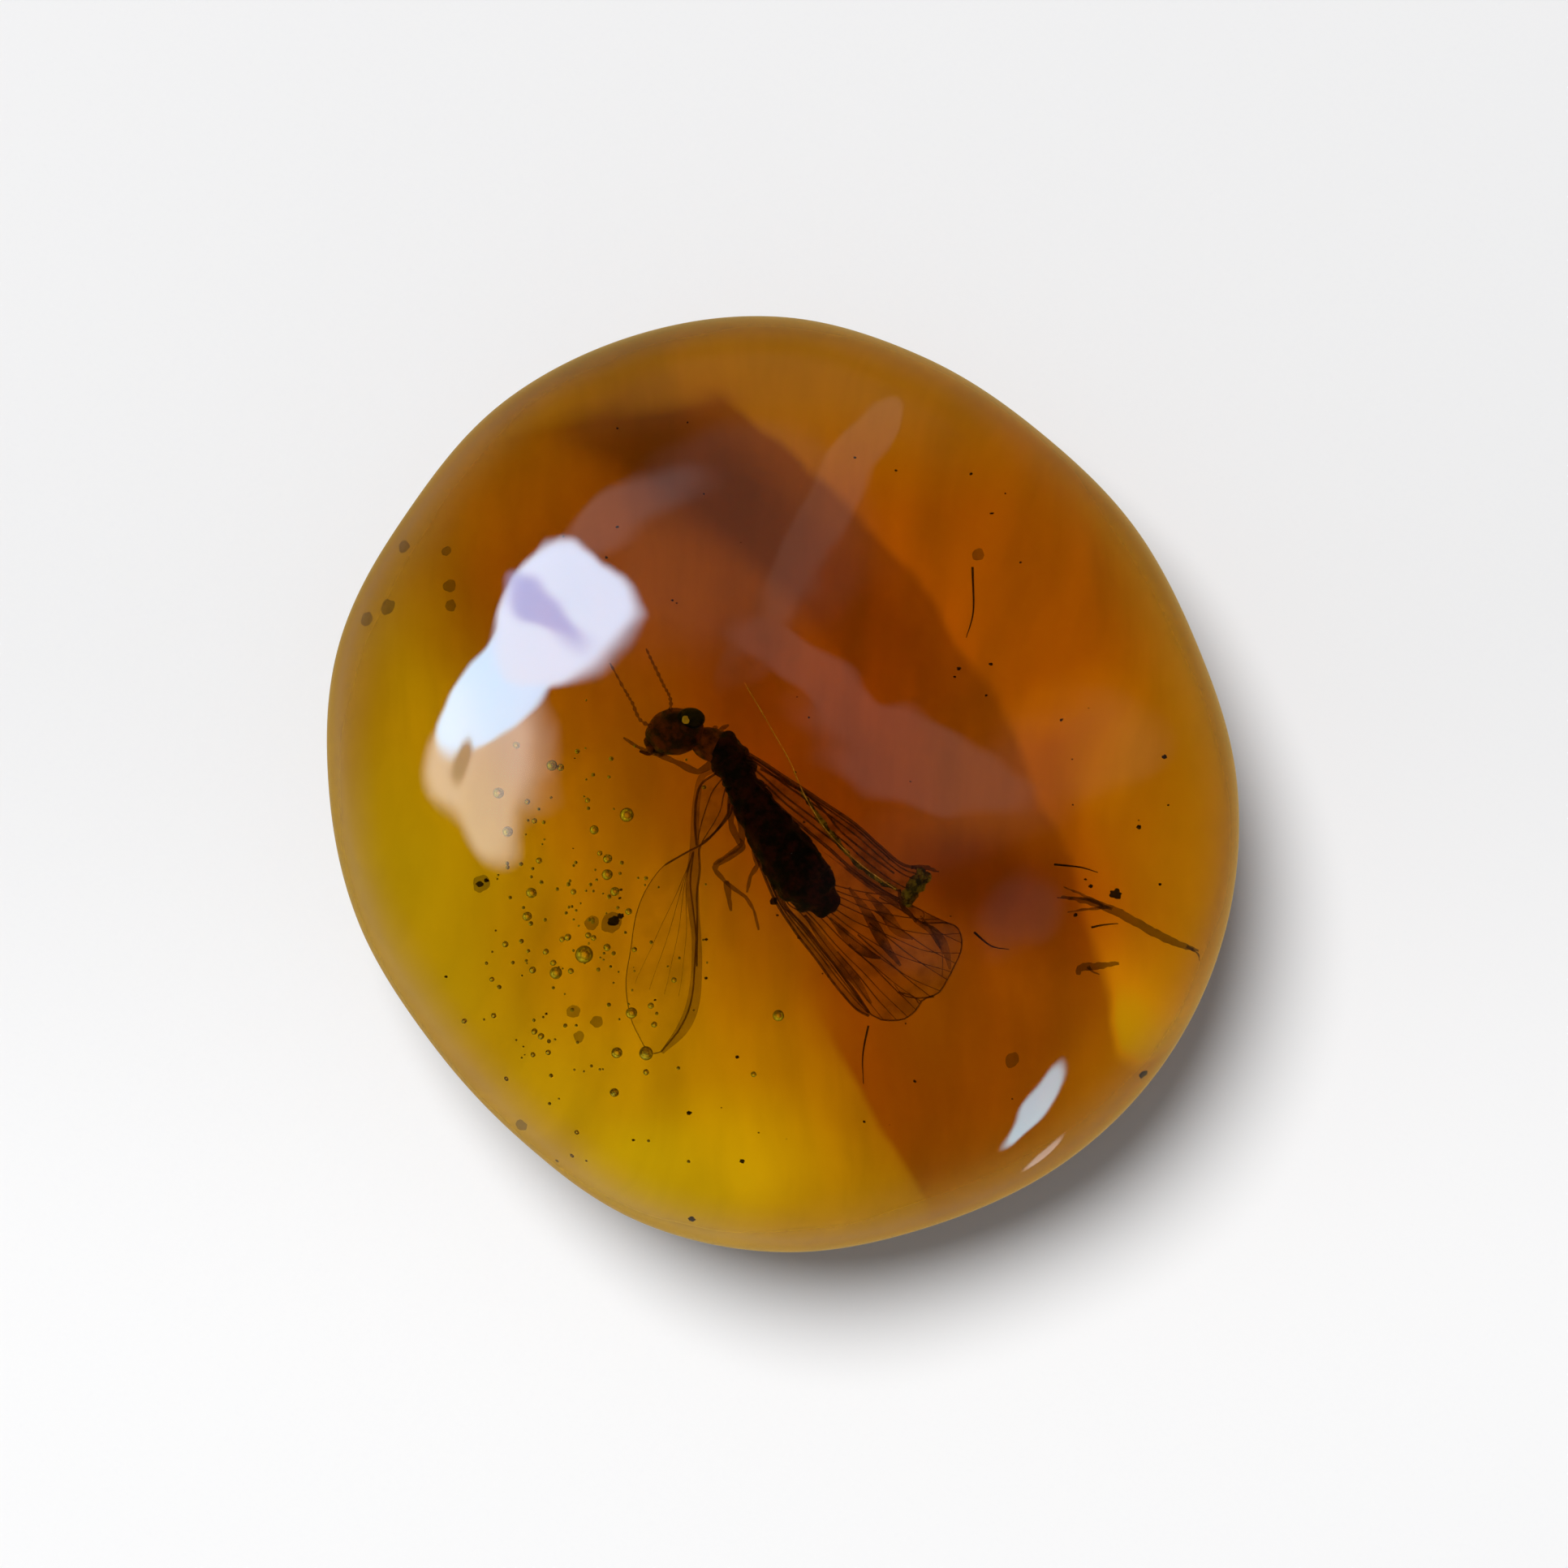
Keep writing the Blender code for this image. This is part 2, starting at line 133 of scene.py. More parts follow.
@dataclass
class Tube:
    """A closed tube of changing width along a route."""

    route: Sequence[Vector]
    radii: Sequence[float]
    sides: int = 10
    height_ratio: float = 1.0

    def ring(self, index: int) -> Matrix:
        """Place, turn and size of one ring, square to the route.

        Args:
            index: which point of the route it is at.

        Returns:
            The matrix that carries a unit circle to the ring.
        """
        before = self.route[max(index - 1, 0)]
        after = self.route[min(index + 1, len(self.route) - 1)]
        along = (after - before).normalized()
        across = along.cross(Vector((0.0, 0.0, 1.0))).normalized()
        lift = across.cross(along)
        turn = Matrix((across, lift, along)).transposed().to_4x4()
        radius = self.radii[index]
        size = Matrix.Diagonal((radius, radius * self.height_ratio, 1.0, 1.0))
        return Matrix.Translation(self.route[index]) @ turn @ size

    def build(self, bm: Mesh) -> None:
        """Extrude the tube into a bmesh.

        Args:
            bm: the mesh that it is added to.
        """
        frames = [self.ring(index) for index in range(len(self.route))]
        start = bmesh.ops.create_circle(bm, segments=self.sides, radius=1.0, matrix=frames[0])
        first = list(dict.fromkeys(edge for vertex in start["verts"] for edge in vertex.link_edges))
        front = first
        for previous, ring in zip(frames, frames[1:]):
            grown = bmesh.ops.extrude_edge_only(bm, edges=front)["geom"]
            moved = [item for item in grown if isinstance(item, bmesh.types.BMVert)]
            front = [item for item in grown if isinstance(item, bmesh.types.BMEdge)]
            bmesh.ops.transform(bm, matrix=ring @ previous.inverted(), verts=moved)
        bmesh.ops.holes_fill(bm, edges=[*first, *front], sides=0)


def even_radii(count: int, first: float, last: float) -> list[float]:
    """Radii that change steadily from first to last."""
    return [first + (last - first) * step / (count - 1) for step in range(count)]


def sweep(bm: Mesh, points: Route, count: int, widths: Sequence[float], sides: int,
          height_ratio: float = 1.0) -> None:
    """Add a tube with smoothed widths along a smoothed route.

    Args:
        bm: the mesh that it is added to.
        points: the places that the route passes through.
        count: how many rings it has.
        widths: half widths at even steps.
        sides: sides of each ring.
        height_ratio: its height as a share of its width.
    """
    Tube(smooth_route(points, count), smooth_widths(widths, count), sides, height_ratio).build(bm)


def thread(bm: Mesh, points: Route, count: int, first: float, last: float, sides: int) -> None:
    """Add a thin tube that narrows steadily along a smoothed route."""
    Tube(smooth_route(points, count), even_radii(count, first, last), sides).build(bm)


def add_ball(bm: Mesh, centre: Sequence[float], sizes: Sequence[float], detail: int,
             lumps: float = 0.0, seed: float = 0.0) -> list[bmesh.types.BMVert]:
    """Add a ball, an egg or a lump of grit.

    Args:
        bm: the mesh that it is added to.
        centre: its middle.
        sizes: its three half sizes.
        detail: icosphere subdivisions.
        lumps: how rough it is, as a share of its size.
        seed: moves the roughness.

    Returns:
        Its vertices.
    """
    ball = bmesh.ops.create_icosphere(bm, subdivisions=detail, radius=1.0)["verts"]
    for vertex in ball:
        swell = 1.0 + lumps * roughness_at(vertex.co, 0.7, seed)
        vertex.co = Vector(centre) + Vector([c * s * swell for c, s in zip(vertex.co, sizes)])
    return ball


def finish_piece(name: str, bm: Mesh, material: Material, slot: Slot,
                 outward: bool = True) -> Piece:
    """Turn a millimetre bmesh into a piece in metres that rides on the part.

    Args:
        name: the piece's name.
        bm: its mesh, which is used up.
        material: its finish.
        slot: the record's slot for that finish.
        outward: whether to recalculate the normals first.

    Returns:
        The finished object.
    """
    if outward:
        bmesh.ops.recalc_face_normals(bm, faces=bm.faces)
    bmesh.ops.scale(bm, vec=(MILLIMETRE,) * 3, verts=bm.verts)
    mesh = bpy.data.meshes.new(name)
    bm.to_mesh(mesh)
    bm.free()
    mesh.shade_smooth()
    mesh.materials.append(material)
    piece = bpy.data.objects.new(name, mesh)
    bpy.context.scene.collection.objects.link(piece)
    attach(piece, BODY)
    LOG.info("%s: %d faces, slot %s", name, len(mesh.polygons), slot.value)
    return piece


# ---- Finishes ----


class Graph:
    """Short hand for wiring one node tree."""

    def __init__(self, tree: bpy.types.NodeTree) -> None:
        """Start on an existing tree."""
        self.tree = tree

    @classmethod
    def material(cls, name: str) -> tuple["Graph", Material, Node]:
        """Make a new material with its Principled shader.

        Args:
            name: the material's name.

        Returns:
            The graph, the material and the shader node.
        """
        material = bpy.data.materials.new(name)
        material.use_nodes = True
        return cls(material.node_tree), material, material.node_tree.nodes["Principled BSDF"]

    def add(self, kind: str, **settings: object) -> Node:
        """Add a node.

        Args:
            kind: the node's type, without its ShaderNode prefix.
            settings: its properties.

        Returns:
            The node.
        """
        node = self.tree.nodes.new(f"ShaderNode{kind}")
        for key, value in settings.items():
            setattr(node, key, value)
        return node

    def join(self, source: Socket, target: Socket) -> None:
        """Link two sockets."""
        self.tree.links.new(source, target)

    def feed(self, socket: Socket, value: object) -> None:
        """Link a socket or set its number, whichever value is."""
        if isinstance(value, Socket):
            self.join(value, socket)
        else:
            socket.default_value = value

    def settle(self, node: Node, values: dict[str, object]) -> None:
        """Link or set several of a node's sockets, by name."""
        for name, value in values.items():
            self.feed(node.inputs[name], value)

    def places(self, size: float = 1.0, stretch: Point = (1.0, 1.0, 1.0), turn: float = 0.0) -> Socket:
        """Object coordinates in units of size millimetres.

        Args:
            size: the unit.
            stretch: extra scale along each axis.
            turn: degrees about Z.

        Returns:
            The vector socket.
        """
        source = self.add("TexCoord")
        mapping = self.add("Mapping")
        mapping.inputs["Scale"].default_value = [s / (size * MILLIMETRE) for s in stretch]
        mapping.inputs["Rotation"].default_value = (0.0, 0.0, math.radians(turn))
        self.join(source.outputs["Object"], mapping.inputs["Vector"])
        return mapping.outputs["Vector"]

    def math(self, operation: str, *values: object) -> Socket:
        """Arithmetic on one to three values.

        Args:
            operation: the node's operation.
            values: numbers or sockets.

        Returns:
            The result's socket.
        """
        node = self.add("Math", operation=operation)
        for socket, value in zip(node.inputs, values):
            self.feed(socket, value)
        return node.outputs[0]

    def plus(self, *values: object) -> Socket:
        """The sum of two values."""
        return self.math("ADD", *values)

    def minus(self, *values: object) -> Socket:
        """The first value less the second."""
        return self.math("SUBTRACT", *values)

    def times(self, *values: object) -> Socket:
        """The product of two values."""
        return self.math("MULTIPLY", *values)

    def axes(self, vector: Socket) -> list[Socket]:
        """Part a vector.

        Args:
            vector: the vector's socket.

        Returns:
            The sockets of its three numbers.
        """
        node = self.add("SeparateXYZ")
        self.join(vector, node.inputs[0])
        return list(node.outputs)

    def vector(self, *values: object) -> Socket:
        """Make a vector.

        Args:
            values: three numbers or sockets.

        Returns:
            The vector's socket.
        """
        node = self.add("CombineXYZ")
        for socket, value in zip(node.inputs, values):
            self.feed(socket, value)
        return node.outputs[0]

    def oval(self, vector: Socket, centre: Pair, half_sizes: Pair, turn: float) -> Socket:
        """Coordinates within a turned upright oval, whose edge is one away from its middle.

        Args:
            vector: where it is read.
            centre: the oval's middle.
            half_sizes: its half length and half width.
            turn: degrees about Z.

        Returns:
            The vector socket, with next to no height.
        """
        node = self.add("Mapping", vector_type="TEXTURE")
        self.settle(node, {
            "Vector": vector,
            "Location": (*centre, 0.0),
            "Rotation": (0.0, 0.0, math.radians(turn)),
            "Scale": (*half_sizes, FAR),
        })
        return node.outputs["Vector"]

    def ramp(self, value: object, low: float, high: float, start: float = 0.0, end: float = 1.0,
             linear: bool = False) -> Socket:
        """A step of a value.

        Args:
            value: what is read.
            low: where the step starts.
            high: where it ends.
            start: the result below low.
            end: the result above high.
            linear: whether the step is straight instead of smooth.

        Returns:
            The result's socket.
        """
        node = self.add("MapRange", interpolation_type="LINEAR" if linear else "SMOOTHSTEP", clamp=True)
        self.settle(node, {
            "Value": value, "From Min": low, "From Max": high, "To Min": start, "To Max": end,
        })
        return node.outputs["Result"]

    def stops(self, value: Socket, stops: Sequence[tuple[float, Colour]]) -> Socket:
        """A colour ramp.

        Args:
            value: what is read, from 0 to 1.
            stops: places and colours.

        Returns:
            The colour's socket.
        """
        node = self.add("ValToRGB")
        ramp = node.color_ramp
        ramp.interpolation = "B_SPLINE"
        while len(ramp.elements) < len(stops):
            ramp.elements.new(0.5)
        for element, (place, colour) in zip(ramp.elements, stops):
            element.position = place
            element.color = (*colour, 1.0)
        self.join(value, node.inputs["Fac"])
        return node.outputs["Color"]

    def noise(self, vector: Socket, scale: float, detail: float = 3.0,
              rough: float = 0.5, warp: float = 0.0) -> Socket:
        """A noise texture's value.

        Args:
            vector: where it is read.
            scale: how many lumps to a unit.
            detail: how many finer layers.
            rough: how strong those are.
            warp: distortion.

        Returns:
            The value's socket.
        """
        node = self.add("TexNoise")
        self.join(vector, node.inputs["Vector"])
        node.inputs["Scale"].default_value = scale
        node.inputs["Detail"].default_value = detail
        node.inputs["Roughness"].default_value = rough
        node.inputs["Distortion"].default_value = warp
        return node.outputs["Fac"]

    def blend(self, factor: object, first: object, second: object, mode: str = "MIX") -> Socket:
        """Mix two colours.

        Args:
            factor: how much of the second.
            first: a colour or a socket.
            second: a colour or a socket.
            mode: the mix's blend type.

        Returns:
            The colour's socket.
        """
        node = self.add("Mix", data_type="RGBA", blend_type=mode)
        self.feed(node.inputs["Factor"], factor)
        for socket, value in ((node.inputs[6], first), (node.inputs[7], second)):
            self.feed(socket, value if isinstance(value, Socket) else (*value, 1.0))
        return node.outputs[2]

    def bump(self, height: Socket, strength: float, depth: float) -> Socket:
        """A bump from a height.

        Args:
            height: the height's socket.
            strength: 0 to 1.
            depth: millimetres between its lowest and highest.

        Returns:
            The normal's socket.
        """
        node = self.add("Bump")
        node.inputs["Strength"].default_value = strength
        node.inputs["Distance"].default_value = depth * MILLIMETRE
        self.join(height, node.inputs["Height"])
        return node.outputs["Normal"]


@dataclass(frozen=True)
class LightShadePatch:
    """A soft oval cloud of painted light and shade in the lower skin, which deepens or lightens its colour.
    """

    centre: Pair
    half_sizes: Pair
    turn: float
    tint: Colour

    def lay(self, graph: Graph, places: Socket, under: Socket) -> Socket:
        """Multiply the cloud into the colour so far.

        Args:
            graph: the material's graph.
            places: object coordinates in millimetres.
            under: the colour so far.

        Returns:
            The colour with the cloud in it.
        """
        length = graph.add("VectorMath", operation="LENGTH")
        graph.join(graph.oval(places, self.centre, self.half_sizes, self.turn), length.inputs[0])
        inside = graph.ramp(length.outputs["Value"], 0.3, 1.3, 1.0, 0.0)
        return graph.blend(inside, under, graph.blend(1.0, under, self.tint, "MULTIPLY"))


@dataclass(frozen=True)
class AmberFinish:
    """Clear polished amber: absorption through its depth, and painted light and shade in the colour low in
    the stone.
    """

    ior: float = 1.54
    roughness: float = 0.025
    foot_roughness: float = 0.42
    foot_reach: Pair = (2.8, 4.2)
    absorption_colour: Colour = (0.932, 0.868, 0.07)
    absorption_density: float = 380.0
    clear: Colour = (1.0, 0.95, 0.5)
    # Painted light on the sides: paler on the lit lower left, deeper on the shaded upper right.
    rim_lit_side: Colour = (0.74, 0.60, 0.12)
    rim_shaded_side: Colour = (0.60, 0.30, 0.06)
    # Painted light and shade of the lower skin: from a shaded red-brown core to a lit pale yellow side.
    layers: Sequence[tuple[float, Colour]] = (
        (0.0, (0.34, 0.115, 0.04)), (0.11, (0.37, 0.125, 0.05)), (0.24, (0.41, 0.165, 0.06)),
        (0.38, (0.46, 0.22, 0.1)), (0.47, (0.55, 0.32, 0.15)), (0.57, (0.65, 0.44, 0.2)),
        (0.67, (0.72, 0.56, 0.25)), (0.78, (0.77, 0.64, 0.35)), (0.89, (0.83, 0.76, 0.5)),
        (0.97, (0.88, 0.88, 0.7)),
    )
    shade_lean: Pair = (-0.72, -0.70)
    shade_span: Pair = (-1.0, 8.0)
    # The ring's edge is the sharp edge of the painted shade; the line bounds the wedge of painted shade at
    # the foot.
    shade_edge_centre: Pair = (-11.38, -7.34)
    shade_edge_radius: float = 18.31
    shaded_wedge_line: tuple[Pair, Pair] = ((2.82, -8.48), (1.19, -5.87))
    orange: Colour = (0.53, 0.195, 0.06)
    flow_shares: Colour = (1.0, 0.94, 0.9)
    # Painted light: paler orange to the right and at the foot.
    orange_rim: Colour = (0.77, 0.46, 0.2)
    orange_foot: Colour = (0.88, 0.5, 0.25)
    upper: Colour = (0.56, 0.31, 0.12)
    # Painted shade: the dark band inside the ring's edge and the brown wedge at the foot.
    crescent_shade: Colour = (0.62, 0.5, 0.5)
    lower_painted_shade: Colour = (0.40, 0.137, 0.04)
    # Clouds of painted light and shade that lighten or deepen the lower skin.
    light_shade_patches: Sequence[LightShadePatch] = (
        LightShadePatch((-4.3, -3.9), (2.2, 2.0), 0.0, (0.94, 0.84, 0.8)),
        LightShadePatch((-6.9, 0.0), (1.7, 2.4), 0.0, (1.08, 1.22, 1.0)),
        LightShadePatch((4.3, -2.1), (1.9, 1.1), -15.0, (0.62, 0.42, 0.4)),
        LightShadePatch((-2.1, 6.6), (2.2, 1.3), -25.0, (0.72, 0.62, 0.6)),
        LightShadePatch((-0.6, 4.8), (1.4, 2.2), 35.0, (0.8, 0.72, 0.6)),
        LightShadePatch((1.9, 3.4), (1.7, 2.8), 35.0, (1.28, 1.12, 1.0)),
        LightShadePatch((5.3, -4.2), (0.9, 0.9), 0.0, (1.3, 1.4, 1.0)),
        LightShadePatch((-7.6, 3.6), (1.6, 2.6), 20.0, (1.08, 1.4, 1.0)),
        LightShadePatch((-7.0, -3.0), (2.2, 4.0), 20.0, (0.9, 0.96, 1.0)),
        LightShadePatch((-1.0, 2.6), (1.2, 1.6), 20.0, (0.82, 0.7, 0.8)),
        LightShadePatch((7.3, -6.0), (1.6, 1.6), 0.0, (1.15, 1.3, 1.0)),
        LightShadePatch((5.6, 1.4), (1.0, 0.7), 20.0, (1.15, 1.3, 1.0)),
        LightShadePatch((6.6, 0.2), (0.7, 1.3), 10.0, (1.12, 1.3, 1.0)),
        LightShadePatch((-2.0, -7.9), (2.6, 1.2), 15.0, (1.25, 1.45, 1.0)),
        LightShadePatch((-5.4, 6.3), (2.2, 1.5), 45.0, (1.25, 1.5, 1.0)),
        LightShadePatch((6.6, -5.4), (1.0, 2.0), -25.0, (1.22, 1.4, 1.0)),
        LightShadePatch((5.2, -2.6), (2.4, 1.4), -10.0, (0.92, 0.74, 1.0)),
        LightShadePatch((0.8, 0.0), (2.8, 3.6), 30.0, (0.97, 0.72, 1.0)),
        LightShadePatch((1.7, -4.4), (1.3, 1.6), 0.0, (0.9, 0.68, 1.0)),
    )

    def material(self) -> Material:
        """Build the material.

        Returns:
            The finished material.
        """
        graph, material, shader = Graph.material("clear_amber")
        graph.settle(shader, {
            "IOR": self.ior,
            "Transmission Weight": 1.0,
            "Base Color": self.tint(graph),
            "Roughness": self.polish(graph),
            "Normal": self.relief(graph),
        })
        volume = graph.add("VolumeAbsorption")
        graph.settle(volume, {"Color": (*self.absorption_colour, 1.0), "Density": self.absorption_density})
        graph.join(volume.outputs[0], graph.tree.nodes["Material Output"].inputs["Volume"])
        return material

    def tint(self, graph: Graph) -> Socket:
        """Colour of the lower skin, painted with light and shade: lit yellow and honey, a shaded red-brown
        core, and orange outside it.

        Args:
            graph: the material's graph.

        Returns:
            The colour's socket.
        """
        places = graph.places()
        x, y, z = graph.axes(places)
        waver = graph.minus(graph.noise(places, 0.3, 3.0), 0.5)
        streaks = graph.noise(graph.places(stretch=(1.0, 0.22, 1.0), turn=-35.0), 0.9, 4.0, 0.6)
        # The ring's edge bounds the painted shade.
        ring = self.ring_distance(graph, x, y, self.shade_edge_centre, self.shade_edge_radius)
        ring = graph.plus(ring, graph.times(waver, 0.7))
        skin = self.core(graph, x, y, waver, ring)
        skin = graph.blend(graph.ramp(ring, -0.1, 0.16), skin, self.outside(graph, x, y))
        above = graph.ramp(graph.minus(y, graph.times(x, 0.2)), 8.15, 8.55)
        skin = graph.blend(above, skin, self.upper)
        # Lay the clouds of painted light and shade.
        for light_shade_patch in self.light_shade_patches:
            skin = light_shade_patch.lay(graph, places, skin)
        flow = graph.ramp(streaks, 0.3, 0.75, 1.12, 0.76)
        flow_colour = graph.vector(*[graph.times(flow, share) for share in self.flow_shares])
        skin = graph.blend(0.8, skin, graph.blend(1.0, skin, flow_colour, "MULTIPLY"))
        # Painted light on the sides: paler towards the lower left, deeper towards the upper right.
        rim = graph.blend(graph.ramp(graph.plus(x, y), -4.0, 6.0), self.rim_lit_side, self.rim_shaded_side)
        skin = graph.blend(graph.ramp(z, 0.9, 2.6), skin, rim)
        return graph.blend(graph.ramp(z, 4.1, 4.8), skin, self.clear)

    def core(self, graph: Graph, x: Socket, y: Socket,
             waver: Socket, ring: Socket) -> Socket:
        """Painted light and shade inside the ring: lit yellow to shaded red-brown, a painted dark band and
        a brown wedge of painted shade.

        Args:
            graph: the material's graph.
            x: the X socket.
            y: the Y socket.
            waver: slow noise about zero.
            ring: distance outside the ring.

        Returns:
            The colour's socket.
        """
        # Painted light and shade: lit pale yellow towards the lower left, shaded red-brown towards the
        # upper right.
        lean = [graph.times(axis, share) for axis, share in zip((x, y), self.shade_lean)]
        depth = graph.plus(graph.plus(*lean), graph.times(waver, 1.6))
        core = graph.stops(graph.ramp(depth, *self.shade_span, linear=True), self.layers)
        outer = graph.ramp(ring, -0.9, -0.1, 1.0, 0.45)
        crescent = graph.times(graph.ramp(ring, -2.5, -1.8), outer)
        crescent = graph.times(crescent, graph.ramp(y, 0.0, 4.0))
        core = graph.blend(crescent, core, graph.blend(1.0, core, self.crescent_shade, "MULTIPLY"))
        # Painted shade: a brown wedge at the foot.
        beside = graph.ramp(self.line_distance(graph, x, y, *self.shaded_wedge_line), -0.12, 0.12)
        lower = graph.times(beside, graph.ramp(y, -6.2, -4.6, 1.0, 0.0))
        return graph.blend(lower, core, self.lower_painted_shade)

    def outside(self, graph: Graph, x: Socket, y: Socket) -> Socket:
        """The orange outside the ring, with painted light that makes it paler to the right and at its foot.

        Args:
            graph: the material's graph.
            x: the X socket.
            y: the Y socket.

        Returns:
            The colour's socket.
        """
        right = graph.blend(graph.ramp(x, 5.6, 8.6), self.orange, self.orange_rim)
        foot = graph.blend(graph.ramp(y, -2.6, -4.6), right, self.orange_foot)
        return graph.blend(graph.ramp(y, 5.5, 8.0), foot, self.upper)

    @staticmethod
    def ring_distance(graph: Graph, x: Socket, y: Socket,
                      centre: Pair, radius: float) -> Socket:
        """Distance outside an upright cylinder.

        Args:
            graph: the material's graph.
            x: the X socket.
            y: the Y socket.
            centre: the cylinder's axis.
            radius: its radius.

        Returns:
            The distance's socket, negative inside.
        """
        dx = graph.minus(x, centre[0])
        dy = graph.minus(y, centre[1])
        squares = graph.plus(graph.times(dx, dx), graph.times(dy, dy))
        return graph.minus(graph.math("SQRT", squares), radius)

    @staticmethod
    def line_distance(graph: Graph, x: Socket, y: Socket,
                      start: Pair, end: Pair) -> Socket:
        """Distance to the right of an upright plane that runs from start to end.

        Args:
            graph: the material's graph.
            x: the X socket.
            y: the Y socket.
            start: where the plane starts.
            end: where it is heading.

        Returns:
            The distance's socket.
        """
        along = (Vector(end) - Vector(start)).normalized()
        across = graph.times(graph.minus(x, start[0]), along.y)
        ahead = graph.times(graph.minus(y, start[1]), -along.x)
        return graph.plus(across, ahead)

    def polish(self, graph: Graph) -> Socket:
        """Roughness of the skin: hand polished above, worn at the foot.

        Args:
            graph: the material's graph.

        Returns:
            The roughness socket.
        """
        places = graph.places()
        smears = graph.noise(places, 0.5, 2.0, 0.6)
        shine = graph.ramp(smears, 0.35, 0.8, self.roughness * 0.6, self.roughness * 1.8)
        worn = graph.ramp(graph.axes(places)[2], *self.foot_reach, self.foot_roughness, 0.0)
        return graph.math("MAXIMUM", shine, worn)

    @staticmethod
    def relief(graph: Graph) -> Socket:
        """Faint waviness of the polish.

        Args:
            graph: the material's graph.

        Returns:
            The normal's socket.
        """
        return graph.bump(graph.noise(graph.places(), 0.45, 1.0), 1.0, 0.04)


@dataclass(frozen=True)
class CuticleFinish:
    """Dark carbonised insect cuticle, mottled."""

    name: str
    dark: Colour
    light: Colour
    grain: float = 5.0
    roughness: float = 0.45
    alpha: float = 1.0
    gloss: float = SEALED_SPECULAR
    metal: float = 0.0

    def material(self) -> Material:
        """Build the material.

        Returns:
            The finished material.
        """
        graph, material, shader = Graph.material(self.name)
        places = graph.places()
        mottle = graph.ramp(graph.noise(places, self.grain, 4.0, 0.6), 0.38, 0.66)
        fine = graph.noise(places, self.grain * 5.0, 3.0)
        rough = graph.ramp(fine, 0.3, 0.7, self.roughness * 0.7, min(1.0, self.roughness * 1.4))
        graph.settle(shader, {
            "Base Color": graph.blend(mottle, self.dark, self.light),
            "Roughness": rough,
            "Normal": graph.bump(fine, 0.6, 0.03),
            "Alpha": self.alpha,
            "Metallic": self.metal,
            "Specular IOR Level": self.gloss,
        })
        return material


@dataclass(frozen=True)
class MembraneFinish:
    """Thin smoky wing membrane, see-through by alpha, cloudier in patches."""

    name: str
    tone: Colour
    shade: Colour
    alpha: float
    roughness: float = 0.35

    def material(self) -> Material:
        """Build the material.

        Returns:
            The finished material.
        """
        graph, material, shader = Graph.material(self.name)
        clouds = graph.ramp(graph.noise(graph.places(), 1.2, 4.0, 0.6), 0.35, 0.7)
        graph.settle(shader, {
            "Base Color": graph.blend(clouds, self.tone, self.shade),
            "Roughness": self.roughness,
            "Specular IOR Level": SEALED_SPECULAR,
            "Alpha": graph.times(graph.ramp(clouds, 0.0, 1.0, 0.55, 1.3), self.alpha),
        })
        return material


@dataclass(frozen=True)
class FloorFinish:
    """Plain pale matt floor, with painted light that makes it a little lighter towards the front."""

    shaded_far_tone: Colour = (0.795, 0.795, 0.80)
    lit_near_tone: Colour = (0.90, 0.90, 0.903)
    change: Pair = (6.0, -16.0)
    roughness: float = 0.9
    gloss: float = 0.1

    def material(self) -> Material:
        """Build the material.

        Returns:
            The finished material.
        """
        graph, material, shader = Graph.material("pale_floor")
        places = graph.places()
        front = graph.ramp(graph.axes(places)[1], *self.change)
        grain = graph.ramp(graph.noise(places, 0.02, 2.0), 0.3, 0.7, 0.99, 1.0)
        # Painted light: darker at the back, lighter towards the front.
        tone = graph.blend(front, self.shaded_far_tone, self.lit_near_tone)
        graph.settle(shader, {
            "Base Color": graph.blend(1.0, tone, graph.vector(grain, grain, grain), "MULTIPLY"),
            "Roughness": self.roughness,
            "Specular IOR Level": self.gloss,
        })
        return material


# ---- The amber ----


